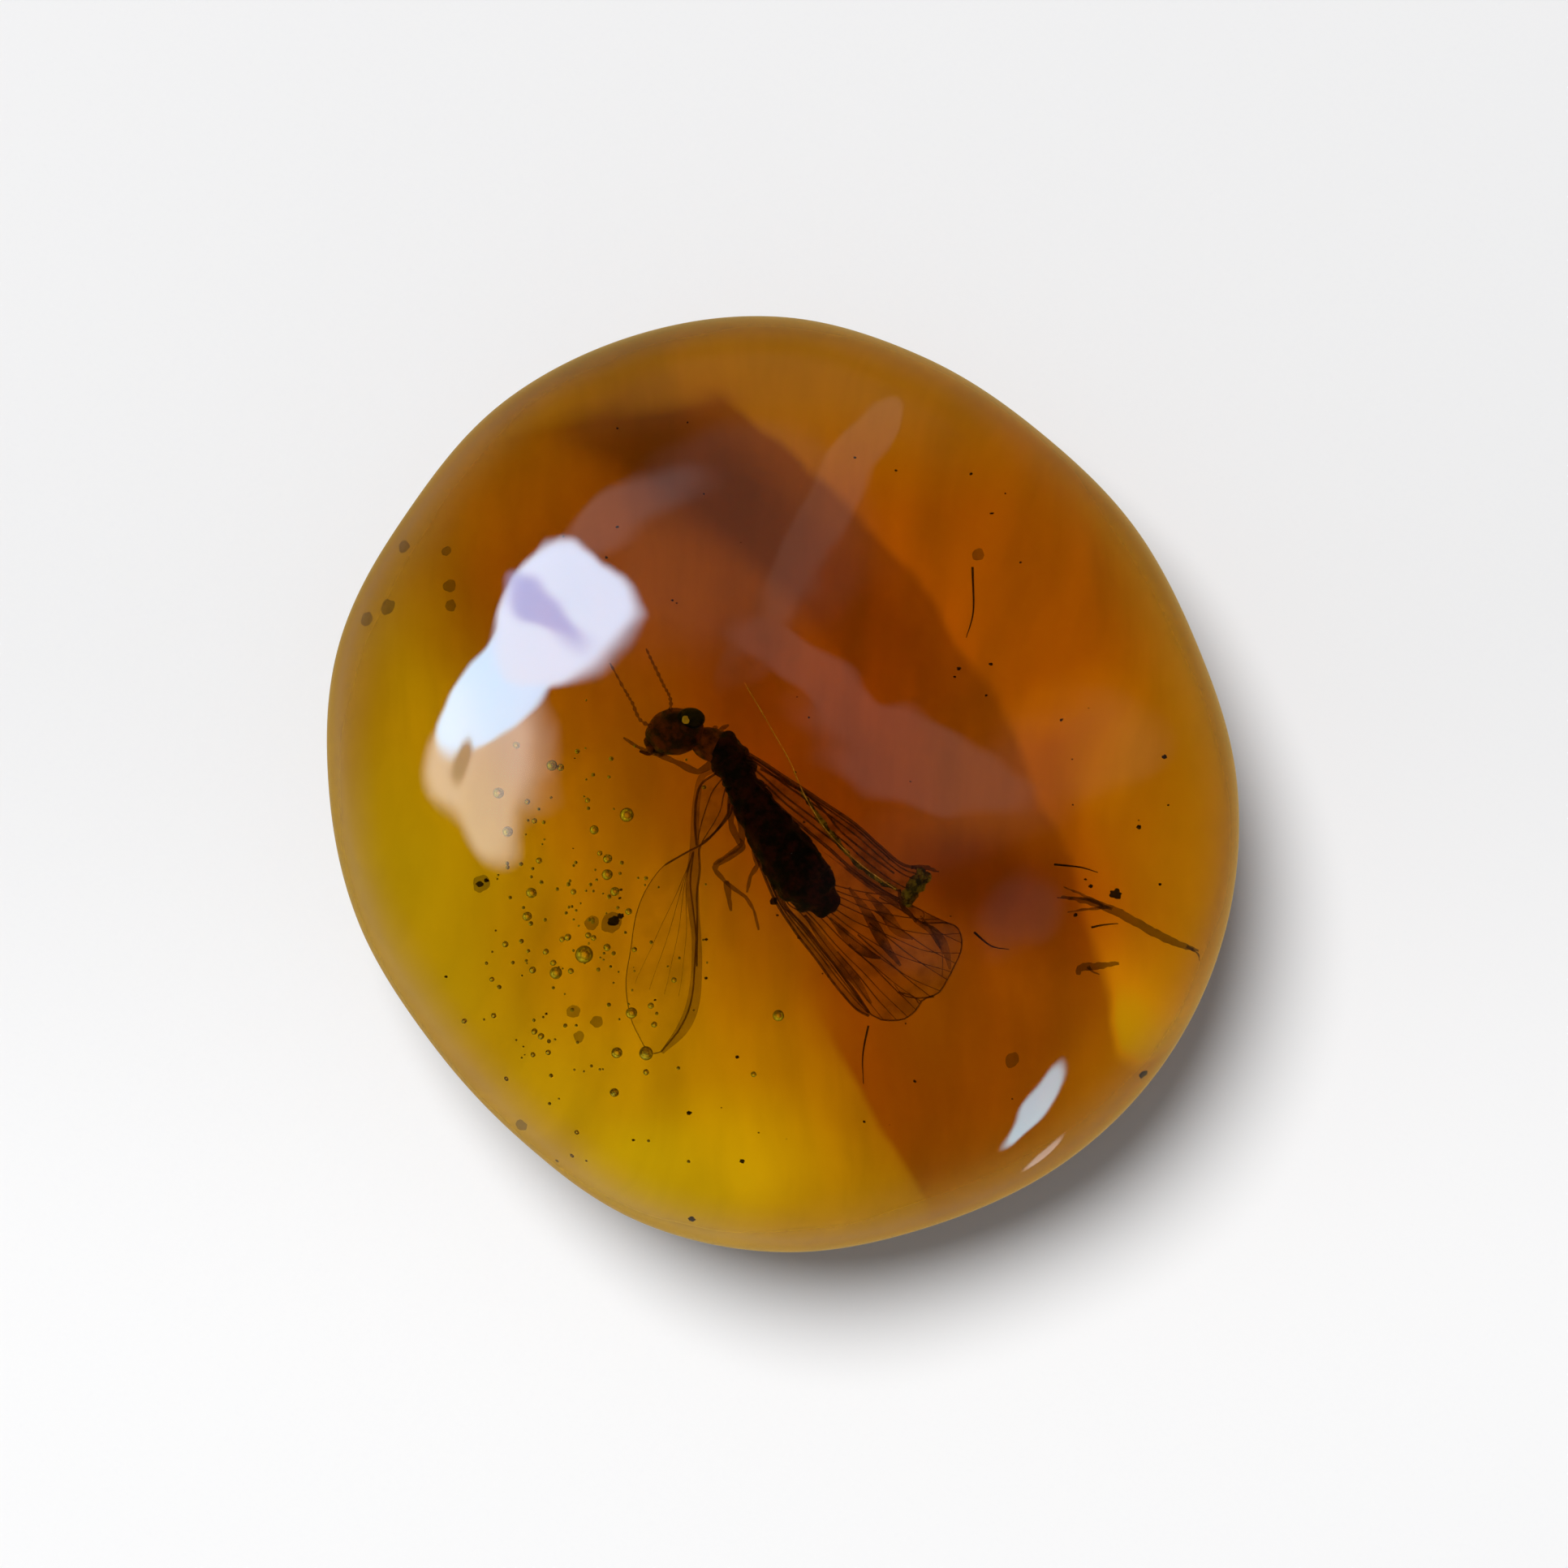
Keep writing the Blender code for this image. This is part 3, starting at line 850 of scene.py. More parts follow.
@dataclass
class Bubbles:
    """Gas bubbles in the amber: hollows in its mesh."""

    named: Sequence[Dot] = (
        (-4.64, -3.97, 6.5, 0.2), (-5.3, -4.4, 6.5, 0.14), (-3.72, -0.71, 6.6, 0.16),
        (-4.13, -1.72, 6.5, 0.1), (-4.13, -2.09, 6.5, 0.12), (-3.95, -2.48, 6.5, 0.1),
        (-5.91, -2.49, 6.4, 0.11), (-6.0, -3.03, 6.4, 0.1), (-3.62, -2.98, 6.6, 0.08),
        (-3.52, -5.36, 6.5, 0.13), (-3.85, -6.31, 6.4, 0.12), (-6.66, -0.19, 6.4, 0.12),
        (-0.13, -5.45, 6.6, 0.13), (-6.48, -1.1, 6.8, 0.12), (-5.46, 0.46, 6.9, 0.12),
        (-5.26, 0.41, 6.9, 0.08), (-4.46, -1.05, 6.8, 0.1), (-3.19, -6.36, 6.9, 0.16),
        (-3.0, -5.67, 6.9, 0.07), (-3.08, -5.21, 6.9, 0.07), (-3.92, -7.28, 6.7, 0.1),
        (-3.19, -6.8, 6.8, 0.07), (-6.03, -0.4, 6.8, 0.06), (-5.86, -0.85, 6.8, 0.06),
        (-5.85, -4.32, 6.5, 0.08), (-5.55, -3.88, 6.5, 0.07), (-5.04, -3.56, 6.5, 0.08),
        (-4.55, -3.53, 6.5, 0.07), (-4.11, -3.81, 6.5, 0.08),
    )
    cloud_centre: Point = (-4.7, -3.6, 6.0)
    cloud_spread: Point = (1.15, 2.0, 0.7)
    cloud_count: int = 150
    cloud_radii: Pair = (0.025, 0.07)
    clearance: float = 0.03
    round_radius: float = 0.09
    # Painted shade: a dark see-through shell around each bubble stands in for the dark ring at its edge.
    shade_ring_reach: float = 1.05
    shade_ring_belt: float = 0.78
    film: CuticleFinish = CuticleFinish(
        "bubble_painted_shade", (0.02, 0.012, 0.002), (0.09, 0.05, 0.01), 6.0, 0.7, 0.5)
    open_radius: float = 0.055
    seed: int = 11

    def all(self) -> list[tuple[Vector, float]]:
        """Every bubble.

        Returns:
            Centre and radius of each, none touching another.
        """
        chance = random.Random(self.seed)
        small, large = self.cloud_radii
        kept = [(Vector(item[:3]), item[3]) for item in self.named]
        while len(kept) < len(self.named) + self.cloud_count:
            centre = Vector([chance.gauss(m, s) for m, s in zip(self.cloud_centre, self.cloud_spread)])
            radius = small + (large - small) * chance.random() ** 2
            if all((centre - other).length > radius + size + self.clearance for other, size in kept):
                kept.append((centre, radius))
        return kept

    def build_shade_rings(self) -> Piece:
        """Painted shade: a dark see-through shell around each bubble stands in for its dark ring; the
        shells are open above and below the larger bubbles.

        Returns:
            The shells of painted shade, in one piece.
        """
        bm = bmesh.new()
        for centre, radius in self.all():
            size = radius * self.shade_ring_reach
            large = radius > self.open_radius
            film = add_ball(bm, centre, (size,) * 3, 3 if large else 2)
            faces = {face for vertex in film for face in vertex.link_faces}
            belt = self.shade_ring_belt * size
            poles = [face for face in faces if abs(face.calc_center_median().z - centre.z) > belt]
            if large:
                bmesh.ops.delete(bm, geom=poles, context="FACES")
        return finish_piece("bubble_shade_rings", bm, self.film.material(), Slot.GRAIN, outward=False)


@dataclass
class Pebble:
    """The polished amber pebble with its bubbles."""

    girth_radii: Sequence[float] = (
        11.98, 11.54, 11.18, 11.17, 11.22, 11.64, 11.93, 12.10, 12.11, 11.99, 12.02, 11.83, 11.38, 11.23,
        11.48, 11.70, 12.00, 11.95, 12.17, 12.14,
    )
    girth_height: float = 4.3
    dome_rise: float = 6.7
    keel_drop: float = 5.3
    fullness: float = 2.3
    underside_depth: float = 4.32
    polish_flats: Route = ((152.0, 44.0, 9.7), (28.0, 46.0, 9.45), (-68.0, 44.0, 9.75))
    edge_softness: float = 26.0
    detail: int = 7
    unevenness: float = 0.03
    bubbles: Bubbles = field(default_factory=Bubbles)
    finish: AmberFinish = field(default_factory=AmberFinish)

    def girth_radius(self, direction: Vector) -> float:
        """Radius of the widest outline in a level direction.

        Args:
            direction: where to look.

        Returns:
            The radius there.
        """
        steps = len(self.girth_radii)
        place = math.atan2(direction.x, direction.y) / math.tau * steps % steps
        step = int(place)
        t = place - step
        a, b, c, d = (self.girth_radii[(step + k) % steps] for k in (-1, 0, 1, 2))
        return b + 0.5 * t * (c - a + t * (2 * a - 5 * b + 4 * c - d + t * (3 * (b - c) + d - a)))

    def flats(self) -> list[tuple[Vector, float]]:
        """Facing and distance of the ground underside and of each polish flat."""
        found = [(Vector((0.0, 0.0, -1.0)), self.underside_depth)]
        for azimuth, tilt, distance in self.polish_flats:
            turn, lean = math.radians(azimuth), math.radians(tilt)
            facing = (math.sin(lean) * math.cos(turn), math.sin(lean) * math.sin(turn), math.cos(lean))
            found.append((Vector(facing), distance))
        return found

    def surface(self, direction: Vector, flats: Sequence[tuple[Vector, float]]) -> Vector:
        """The surface point in a direction from the middle of the girth.

        Args:
            direction: a unit vector.
            flats: the flats' facings and distances.

        Returns:
            The point.
        """
        level = math.hypot(direction.x, direction.y) / self.girth_radius(direction)
        upright = abs(direction.z) / (self.dome_rise if direction.z > 0 else self.keel_drop)
        nearness = level ** self.fullness + upright ** self.fullness
        nearness **= self.edge_softness / self.fullness
        for facing, distance in flats:
            nearness += max(0.0, direction.dot(facing) / distance) ** self.edge_softness
        reach = nearness ** (-1.0 / self.edge_softness)
        reach -= self.unevenness * (0.5 + 0.5 * roughness_at(direction * reach, 3.5))
        point = direction * reach
        point.z = max(0.0, self.girth_height + point.z)
        return point

    def build(self) -> Piece:
        """Model the pebble, hollow out its bubbles and dress it.

        Returns:
            The amber, standing for both halves of the solid.
        """
        bm = bmesh.new()
        bmesh.ops.create_icosphere(bm, subdivisions=self.detail, radius=1.0)
        flats = self.flats()
        for vertex in bm.verts:
            vertex.co = self.surface(vertex.co.normalized(), flats)
        for centre, radius in self.bubbles.all():
            hollow = add_ball(bm, centre, (radius,) * 3, 3 if radius > self.bubbles.round_radius else 2)
            faces = list({face for vertex in hollow for face in vertex.link_faces})
            bmesh.ops.reverse_faces(bm, faces=faces)
        amber = finish_piece("amber", bm, self.finish.material(), Slot.AMBER, outward=False)
        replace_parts(amber, "amber_upper", "amber_lower")
        # The bubbles' dark rings are painted shade on shells.
        self.bubbles.build_shade_rings()
        return amber


# ---- The insect ----


@dataclass
class Wing:
    """One wing: a pleated membrane inside four edges, with veins along it."""

    name: str
    leading: Route
    trailing: Route
    tip: Route
    pleats: float
    pleat_depth: float
    finish: MembraneFinish
    edge_radii: Pair
    vein_radii: Pair = (0.02, 0.01)
    veins: Sequence[Dot] = ()
    back_radius: float = 0.0
    tip_radius: float = 0.0
    crumple: float = 0.03
    stations: int = 72
    chords: int = 40
    seed: float = 0.0

    def prepare(self) -> None:
        """Sample the three given edges evenly."""
        self._leading = smooth_route(self.leading, self.stations)
        self._trailing = smooth_route(self.trailing, self.stations)
        self._tip = smooth_route(self.tip, self.stations)

    @staticmethod
    def edge_point(route: Sequence[Vector], along: float) -> Vector:
        """A point between the samples of an edge."""
        place = along * (len(route) - 1)
        step = min(int(place), len(route) - 2)
        return route[step].lerp(route[step + 1], place - step)

    def place(self, along: float, across: float) -> Vector:
        """A point of the membrane, blended between its four edges.

        Args:
            along: 0 at the root, 1 at the tip.
            across: 0 at the leading edge, 1 at the trailing one.

        Returns:
            The point.
        """
        root = (self._leading[0], self._trailing[0])
        ends = (self._leading[-1], self._trailing[-1])
        leading, trailing = self.edge_point(self._leading, along), self.edge_point(self._trailing, along)
        place = leading.lerp(trailing, across)
        place += root[0].lerp(root[1], across).lerp(self.edge_point(self._tip, across), along)
        place -= root[0].lerp(root[1], across).lerp(ends[0].lerp(ends[1], across), along)
        width = (trailing - leading).length
        place.z += self.pleat_depth * width * math.cos(math.tau * self.pleats * across) / 2
        place.z += self.crumple * roughness_at(place, 0.45, self.seed)
        return place

    def build_membrane(self) -> Piece:
        """Model the thin membrane.

        Returns:
            The membrane's object.
        """
        bm = bmesh.new()
        grid = bmesh.ops.create_grid(bm, x_segments=self.stations, y_segments=self.chords, size=0.5)
        for vertex in grid["verts"]:
            vertex.co = self.place(vertex.co.x + 0.5, vertex.co.y + 0.5)
        return finish_piece(f"{self.name}_membrane", bm, self.finish.material(), Slot.INSECT, outward=False)

    def add_veins(self, bm: Mesh) -> None:
        """Add the edge's thick vein, the branching veins and the margins.

        Args:
            bm: the mesh that they are added to.
        """
        count = 34
        steps = [index / (count - 1) for index in range(count)]
        Tube([self.place(step, 0.0) for step in steps], even_radii(count, *self.edge_radii), 8).build(bm)
        for start, end, first, last in self.veins:
            path = [(start + (end - start) * step, first + (last - first) * step) for step in steps]
            route = [self.place(*spot) for spot in path]
            Tube(route, even_radii(count, *self.vein_radii), 5).build(bm)
        if self.back_radius:
            Tube([self.place(step, 1.0) for step in steps], [self.back_radius] * count, 6).build(bm)
        if self.tip_radius:
            Tube([self.place(1.0, step) for step in steps], [self.tip_radius] * count, 5).build(bm)


@dataclass
class Insect:
    """The winged insect: body, eye, limbs and wings."""

    head_line: Route = ((-3.26, 1.12, 6.42), (-2.55, 1.27, 6.5), (-1.9, 1.36, 6.48))
    head_half_width: float = 0.56
    body_height_ratio: float = 0.82
    eye_centre: Point = (-2.2, 1.56, 6.74)
    eye_sizes: Point = (0.34, 0.27, 0.24)
    # A painted glint on the eye: a small pale lump.
    eye_glint_centre: Point = (-2.33, 1.52, 6.99)
    neck_line: Route = ((-2.2, 1.12, 6.42), (-1.8, 0.98, 6.4), (-1.45, 0.8, 6.4))
    neck_widths: Sequence[float] = (0.26, 0.36, 0.4)
    thorax_line: Route = (
        (-1.7, 1.05, 6.42), (-1.5, 0.9, 6.42), (-1.3, 0.6, 6.42), (-1.12, 0.3, 6.4), (-0.98, 0.05, 6.38),
    )
    thorax_widths: Sequence[float] = (0.2, 0.42, 0.46, 0.44, 0.38)
    abdomen_line: Route = (
        (-1.12, 0.25, 6.38), (-0.82, -0.3, 6.36), (-0.4, -1.0, 6.34), (0.14, -1.8, 6.3),
        (0.62, -2.42, 6.26), (1.16, -3.02, 6.22),
    )
    abdomen_widths: Sequence[float] = (0.34, 0.45, 0.56, 0.66, 0.64, 0.24)
    abdomen_segments: int = 10
    antennae: Sequence[Route] = (
        ((-2.95, 1.3, 6.6), (-3.39, 1.5, 6.72), (-3.61, 1.93, 6.8), (-3.79, 2.25, 6.85),
         (-4.1, 2.85, 6.8)),
        ((-2.7, 1.6, 6.7), (-2.68, 2.02, 6.8), (-2.84, 2.36, 6.85), (-3.06, 2.8, 6.85),
         (-3.25, 3.2, 6.8)),
    )
    legs: Sequence[Route] = (
        ((-1.6, 0.6, 6.2), (-2.05, 0.32, 6.1), (-2.58, 0.54, 6.0), (-3.0, 0.7, 6.0), (-3.44, 0.88, 6.0),
         (-3.78, 1.1, 6.05)),
        ((-1.25, -0.2, 6.2), (-1.25, -0.94, 6.05), (-1.1, -1.3, 6.0), (-0.96, -1.51, 5.95),
         (-1.57, -1.89, 5.85), (-1.63, -2.02, 5.82), (-1.4, -2.29, 5.8), (-0.9, -2.68, 5.8),
         (-0.7, -3.01, 5.8), (-0.59, -3.46, 5.85)),
        ((-1.1, -0.3, 6.15), (-1.02, -1.0, 5.85), (-0.98, -1.42, 5.75), (-1.4, -1.72, 5.6),
         (-1.66, -1.9, 5.62)),
        ((-0.7, -1.5, 6.0), (-0.62, -1.9, 5.8), (-0.79, -2.18, 5.7), (-0.87, -2.57, 5.7)),
        ((-1.36, -2.3, 5.78), (-1.28, -2.73, 5.6), (-1.22, -3.01, 5.6)),
        ((-1.45, 1.0, 6.25), (-1.5, 1.3, 6.2), (-1.32, 1.42, 6.2)),
        ((-1.7, 1.1, 6.3), (-1.66, 1.3, 6.25), (-1.58, 1.38, 6.25)),
    )
    body_finish: CuticleFinish = CuticleFinish(
        "dark_cuticle", (0.004, 0.002, 0.003), (0.035, 0.006, 0.011), 3.2, gloss=0.03)
    neck_finish: CuticleFinish = CuticleFinish(
        "neck_cuticle", (0.03, 0.006, 0.003), (0.22, 0.05, 0.012), 3.0)
    head_finish: CuticleFinish = CuticleFinish(
        "head_cuticle", (0.015, 0.004, 0.003), (0.14, 0.028, 0.012), 2.4)
    limb_finish: CuticleFinish = CuticleFinish(
        "limb_cuticle", (0.11, 0.022, 0.003), (0.26, 0.065, 0.006), 4.0, 0.5, 0.44)
    vein_finish: CuticleFinish = CuticleFinish(
        "vein_cuticle", (0.06, 0.011, 0.003), (0.14, 0.025, 0.005), 4.0, 0.5, 0.52)
    strip_finish: CuticleFinish = CuticleFinish(
        "wing_strip", (0.16, 0.026, 0.003), (0.32, 0.055, 0.004), 3.0, 0.5, 0.27)
    torn_finish: CuticleFinish = CuticleFinish(
        "torn_membrane", (0.04, 0.03, 0.012), (0.34, 0.30, 0.16), 5.0, 0.6, 0.7)
    eye_finish: CuticleFinish = CuticleFinish(
        "eye_facets", (0.004, 0.003, 0.003), (0.012, 0.006, 0.004), 16.0, 0.3)
    # Pale finish of the painted glint on the eye.
    glint_spot_finish: CuticleFinish = CuticleFinish("eye_painted_glint", (0.7, 0.5, 0.4), (0.85, 0.7, 0.65), 9.0, 0.4)
    film: MembraneFinish = MembraneFinish("smoky_film", (0.22, 0.035, 0.003), (0.10, 0.012, 0.003), 0.36)
    deep_film: MembraneFinish = MembraneFinish(
        "deep_film", (0.13, 0.016, 0.003), (0.05, 0.006, 0.003), 0.52)
    dark_film: MembraneFinish = MembraneFinish("dark_film", (0.14, 0.02, 0.003), (0.07, 0.01, 0.003), 0.45)
    pale_film: MembraneFinish = MembraneFinish("pale_film", (0.22, 0.06, 0.006), (0.14, 0.03, 0.004), 0.16)
    wing_lines: Sequence[Route] = (
        ((-0.58, 0.36, 6.7), (-0.01, 0.07, 6.74), (0.56, -0.27, 6.76), (1.01, -0.72, 6.74),
         (1.4, -1.17, 6.7), (2.01, -1.67, 6.66), (2.62, -2.12, 6.6)),
        ((-1.3, -0.45, 6.28), (-1.37, -0.77, 6.3), (-1.8, -1.33, 6.36), (-2.25, -1.6, 6.4),
         (-2.8, -1.9, 6.3)),
        ((-1.2, -0.5, 6.28), (-1.31, -0.77, 6.3), (-1.69, -1.21, 6.34), (-1.97, -1.49, 6.36),
         (-1.97, -2.05, 6.3), (-2.03, -2.61, 6.22), (-2.02, -3.17, 6.16), (-2.0, -4.28, 6.1)),
    )
    dark_folds: Sequence[Route] = (
        ((1.54, -2.45, 6.2), (1.94, -3.02, 6.1), (2.23, -3.53, 6.05), (2.44, -3.85, 6.02),
         (2.73, -4.24, 6.0)),
        ((1.94, -2.59, 6.2), (2.37, -3.06, 6.12), (2.66, -3.45, 6.08), (3.02, -3.63, 6.05)),
        ((1.09, -3.17, 6.1), (1.53, -3.6, 6.0), (1.93, -3.92, 6.0), (2.26, -4.06, 6.0)),
        ((0.5, -3.1, 6.0), (1.1, -3.9, 5.95), (1.7, -4.6, 5.95), (2.05, -5.1, 5.95)),
        ((3.05, -3.22, 6.1), (3.45, -3.42, 6.12), (3.67, -3.67, 6.12), (3.81, -3.95, 6.1),
         (3.9, -4.35, 6.08)),
    )
    fold_arcs: Sequence[Route] = (
        ((3.52, -4.98, 5.98), (3.16, -5.0, 6.0), (2.8, -4.92, 6.02), (2.58, -4.67, 6.04)),
        ((2.66, -4.85, 6.02), (3.02, -4.95, 6.02), (3.19, -5.12, 6.0)),
        ((3.2, -3.1, 6.15), (3.5, -3.5, 6.16), (3.7, -3.95, 6.14), (3.72, -4.5, 6.1)),
    )
    grey_streak: Route = (
        (0.3, -0.05, 6.8), (0.5, -0.33, 6.82), (0.9, -0.89, 6.82), (1.29, -1.4, 6.8),
        (1.68, -1.84, 6.76), (2.18, -2.23, 6.7), (2.68, -2.51, 6.62),
    )
    strip_route: Route = (
        (-1.7, 0.35, 6.5), (-1.97, 0.19, 6.56), (-2.07, -0.3, 6.56), (-2.1, -0.93, 6.5),
        (-2.1, -1.55, 6.42), (-2.13, -2.05, 6.34), (-2.13, -2.61, 6.28), (-2.09, -3.1, 6.22),
        (-2.03, -3.6, 6.16), (-2.0, -4.28, 6.1), (-2.07, -5.11, 6.02), (-2.3, -5.72, 5.96),
        (-2.76, -6.27, 5.9),
    )
    strip_widths: Sequence[float] = (
        0.05, 0.08, 0.09, 0.1, 0.12, 0.14, 0.15, 0.13, 0.12, 0.13, 0.15, 0.14, 0.04,
    )

    def wings(self) -> list[Wing]:
        """The wings: four of them, the left hindwing in two parts.

        Returns:
            The wings, in the order that they are built in.
        """
        ribs = [
            (0.02, 1.0, 0.1, 0.14), (0.05, 0.97, 0.25, 0.3), (0.1, 1.0, 0.6, 0.62), (0.2, 1.0, 0.8, 0.8),
        ]
        fan = [(0.05, 1.0, 0.1 + 0.02 * k, 0.07 + 0.1 * k) for k in range(10)]
        forks = [(0.55, 1.0, 0.12 + 0.1 * k, 0.12 + 0.1 * k) for k in range(7)]
        spread = [(0.0, 0.7, 0.12, 0.2 + 0.22 * k) for k in range(4)]
        return [
            Wing("right_forewing",
                 ((-1.14, 0.87, 6.6), (-0.47, 0.48, 6.78), (0.33, -0.04, 6.85), (1.01, -0.5, 6.85),
                  (1.68, -0.95, 6.8), (2.24, -1.45, 6.72), (2.74, -1.88, 6.66), (3.12, -2.0, 6.62)),
                 ((-1.1, 0.5, 6.5), (-0.81, 0.19, 6.6), (-0.13, -0.5, 6.62), (0.44, -1.01, 6.6),
                  (1.12, -1.57, 6.56), (1.68, -2.07, 6.5), (2.23, -2.45, 6.48), (2.68, -2.76, 6.45)),
                 ((3.12, -2.0, 6.62), (3.2, -2.25, 6.6), (2.98, -2.4, 6.5), (2.92, -2.6, 6.5),
                  (2.68, -2.76, 6.45)),
                 3.5, 0.12, self.deep_film, (0.05, 0.035), (0.028, 0.018),
                 ribs,
                 0.035, 0.0, seed=1.0),
            Wing("right_hindwing",
                 ((-0.6, -1.6, 6.0), (-0.05, -2.85, 5.9), (0.23, -3.08, 5.88), (0.75, -3.72, 5.86),
                  (1.25, -4.32, 5.86), (1.7, -4.92, 5.88), (2.05, -5.36, 5.9)),
                 ((0.0, -0.7, 6.35), (0.44, -1.05, 6.4), (1.12, -1.62, 6.4), (1.68, -2.12, 6.38),
                  (2.2, -2.5, 6.35), (2.7, -2.8, 6.3)),
                 ((2.05, -5.36, 5.9), (2.35, -5.49, 5.9), (2.78, -5.46, 5.92), (3.1, -5.27, 5.95),
                  (3.28, -5.03, 5.96), (3.62, -4.9, 5.98), (3.86, -4.55, 6.0), (3.98, -4.3, 6.02),
                  (4.14, -3.95, 6.05), (4.17, -3.6, 6.08), (4.05, -3.33, 6.1), (3.75, -3.25, 6.12),
                  (3.3, -3.26, 6.15), (3.02, -3.12, 6.2), (2.7, -2.8, 6.3)),
                 9.0, 0.02, self.film, (0.022, 0.018), (0.02, 0.009), fan + forks, 0.02, 0.02, 0.06, 90,
                 64, 2.0),
            Wing("left_forewing",
                 ((-0.75, -1.5, 6.05), (-0.35, -2.4, 5.8), (-0.11, -2.89, 5.66), (0.32, -3.54, 5.6),
                  (0.76, -4.1, 5.58), (1.19, -4.68, 5.56), (1.63, -5.18, 5.56), (1.99, -5.38, 5.56)),
                 ((-0.5, -1.5, 5.95), (-0.15, -2.4, 5.75), (0.11, -2.93, 5.62), (0.54, -3.4, 5.62),
                  (0.98, -3.95, 5.62), (1.34, -4.39, 5.62), (1.71, -4.86, 5.6), (2.0, -5.3, 5.58)),
                 ((1.99, -5.38, 5.56), (2.02, -5.35, 5.56), (2.0, -5.3, 5.58)),
                 1.5, 0.15, self.dark_film, (0.035, 0.03), (0.02, 0.012),
                 [(0.1, 0.98, 0.35, 0.5), (0.1, 0.98, 0.7, 0.7)], 0.032, 0.0, 0.02, 60, 14, 3.0),
            Wing("left_hindwing_root",
                 ((-1.6, 0.3, 6.5), (-1.95, 0.05, 6.6), (-2.08, -0.3, 6.6), (-2.1, -0.93, 6.5),
                  (-2.05, -1.45, 6.38)),
                 ((-1.2, 0.0, 6.3), (-1.22, -0.4, 6.3), (-1.31, -0.77, 6.3), (-1.69, -1.21, 6.34),
                  (-1.97, -1.49, 6.36)),
                 ((-2.05, -1.45, 6.38), (-2.02, -1.5, 6.37), (-1.97, -1.49, 6.36)),
                 2.0, 0.06, self.film, (0.03, 0.03), (0.02, 0.014),
                 [(0.0, 0.9, 0.4, 0.3), (0.0, 0.9, 0.7, 0.75)], 0.0, 0.0, 0.05, 50, 20, 4.0),
            Wing("left_hindwing",
                 ((-2.12, -1.6, 6.36), (-2.18, -2.3, 6.28), (-2.12, -2.93, 6.22), (-2.04, -3.58, 6.15),
                  (-2.05, -4.3, 6.08), (-2.12, -5.1, 6.0), (-2.36, -5.72, 5.95), (-2.78, -6.25, 5.9)),
                 ((-2.25, -1.6, 6.3), (-2.8, -1.9, 6.2), (-3.17, -2.37, 6.15), (-3.4, -2.95, 6.1),
                  (-3.52, -3.78, 6.0), (-3.62, -4.65, 5.95), (-3.5, -5.45, 5.9), (-3.18, -6.1, 5.85)),
                 ((-2.78, -6.25, 5.9), (-2.98, -6.28, 5.87), (-3.18, -6.1, 5.85)),
                 4.0, 0.02, self.pale_film, (0.02, 0.02), (0.009, 0.004), spread, 0.013, 0.013, 0.03, 72,
                 40, 5.0),
        ]

    def build(self) -> None:
        """Build and dress every piece of the insect."""
        body = self.build_abdomen()
        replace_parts(body, "insect")
        self.build_thorax()
        self.build_head()
        self.build_eye()
        self.build_limbs()
        self.build_wings()
        self.build_folds()

    def build_abdomen(self) -> Piece:
        """The club-shaped abdomen, its plates overlapping like a telescope."""
        per_segment = 8
        rings = self.abdomen_segments * per_segment + 1
        route = smooth_route(self.abdomen_line, rings)
        radii = smooth_widths(self.abdomen_widths, rings)
        for ring in range(rings):
            phase = ring % per_segment / per_segment
            radii[ring] *= 0.93 + 0.09 * math.sin(math.pi * phase * 0.5 + 0.4)
        radii[-1] *= 0.35
        bm = bmesh.new()
        Tube(route, radii, 40, self.body_height_ratio).build(bm)
        self.rumple(bm, 0.08, 0.27, 6.0)
        return finish_piece("insect_abdomen", bm, self.body_finish.material(), Slot.INSECT)

    def build_thorax(self) -> None:
        """The brown neck shield, and the dark three-part thorax behind it."""
        shapes = (("insect_neck_shield", self.neck_line, self.neck_widths, self.neck_finish, 1.0),
                  ("insect_thorax", self.thorax_line, self.thorax_widths, self.body_finish, 3.0))
        for name, line, widths, finish, lobes in shapes:
            rings = 40
            radii = smooth_widths(widths, rings)
            waists = [1.0 - 0.08 * math.cos(math.tau * lobes * ring / rings) for ring in range(rings)]
            radii = [radius * waist for radius, waist in zip(radii, waists)]
            radii[0] *= 0.4
            radii[-1] *= 0.4
            bm = bmesh.new()
            Tube(smooth_route(line, rings), radii, 32, self.body_height_ratio).build(bm)
            self.rumple(bm, 0.06, 0.22, 2.0)
            finish_piece(name, bm, finish.material(), Slot.INSECT)

    def build_head(self) -> None:
        """The head with its mouthparts and palps."""
        rings = 24
        stations = [math.cos(math.pi * (ring + 0.3) / (rings - 0.4)) for ring in range(rings)]
        line = [Vector(point) for point in self.head_line]
        middle, half = (line[0] + line[2]) / 2, (line[2] - line[0]) / 2
        bm = bmesh.new()
        route = [middle - half * station for station in stations]
        radii = [self.head_half_width * math.sqrt(1 - station ** 2) for station in stations]
        Tube(route, radii, 36, self.body_height_ratio).build(bm)
        add_ball(bm, (-3.08, 0.98, 6.36), (0.2, 0.24, 0.24), 4, 0.3, 1.0)
        add_ball(bm, (-2.85, 0.8, 6.3), (0.24, 0.16, 0.22), 4, 0.3, 2.0)
        palp = smooth_route(((-3.0, 0.85, 6.3), (-3.2, 0.72, 6.25), (-3.4, 0.78, 6.25)), 10)
        Tube(palp, even_radii(10, 0.06, 0.025), 10).build(bm)
        self.rumple(bm, 0.035, 0.22, 3.0)
        finish_piece("insect_head", bm, self.head_finish.material(), Slot.INSECT)

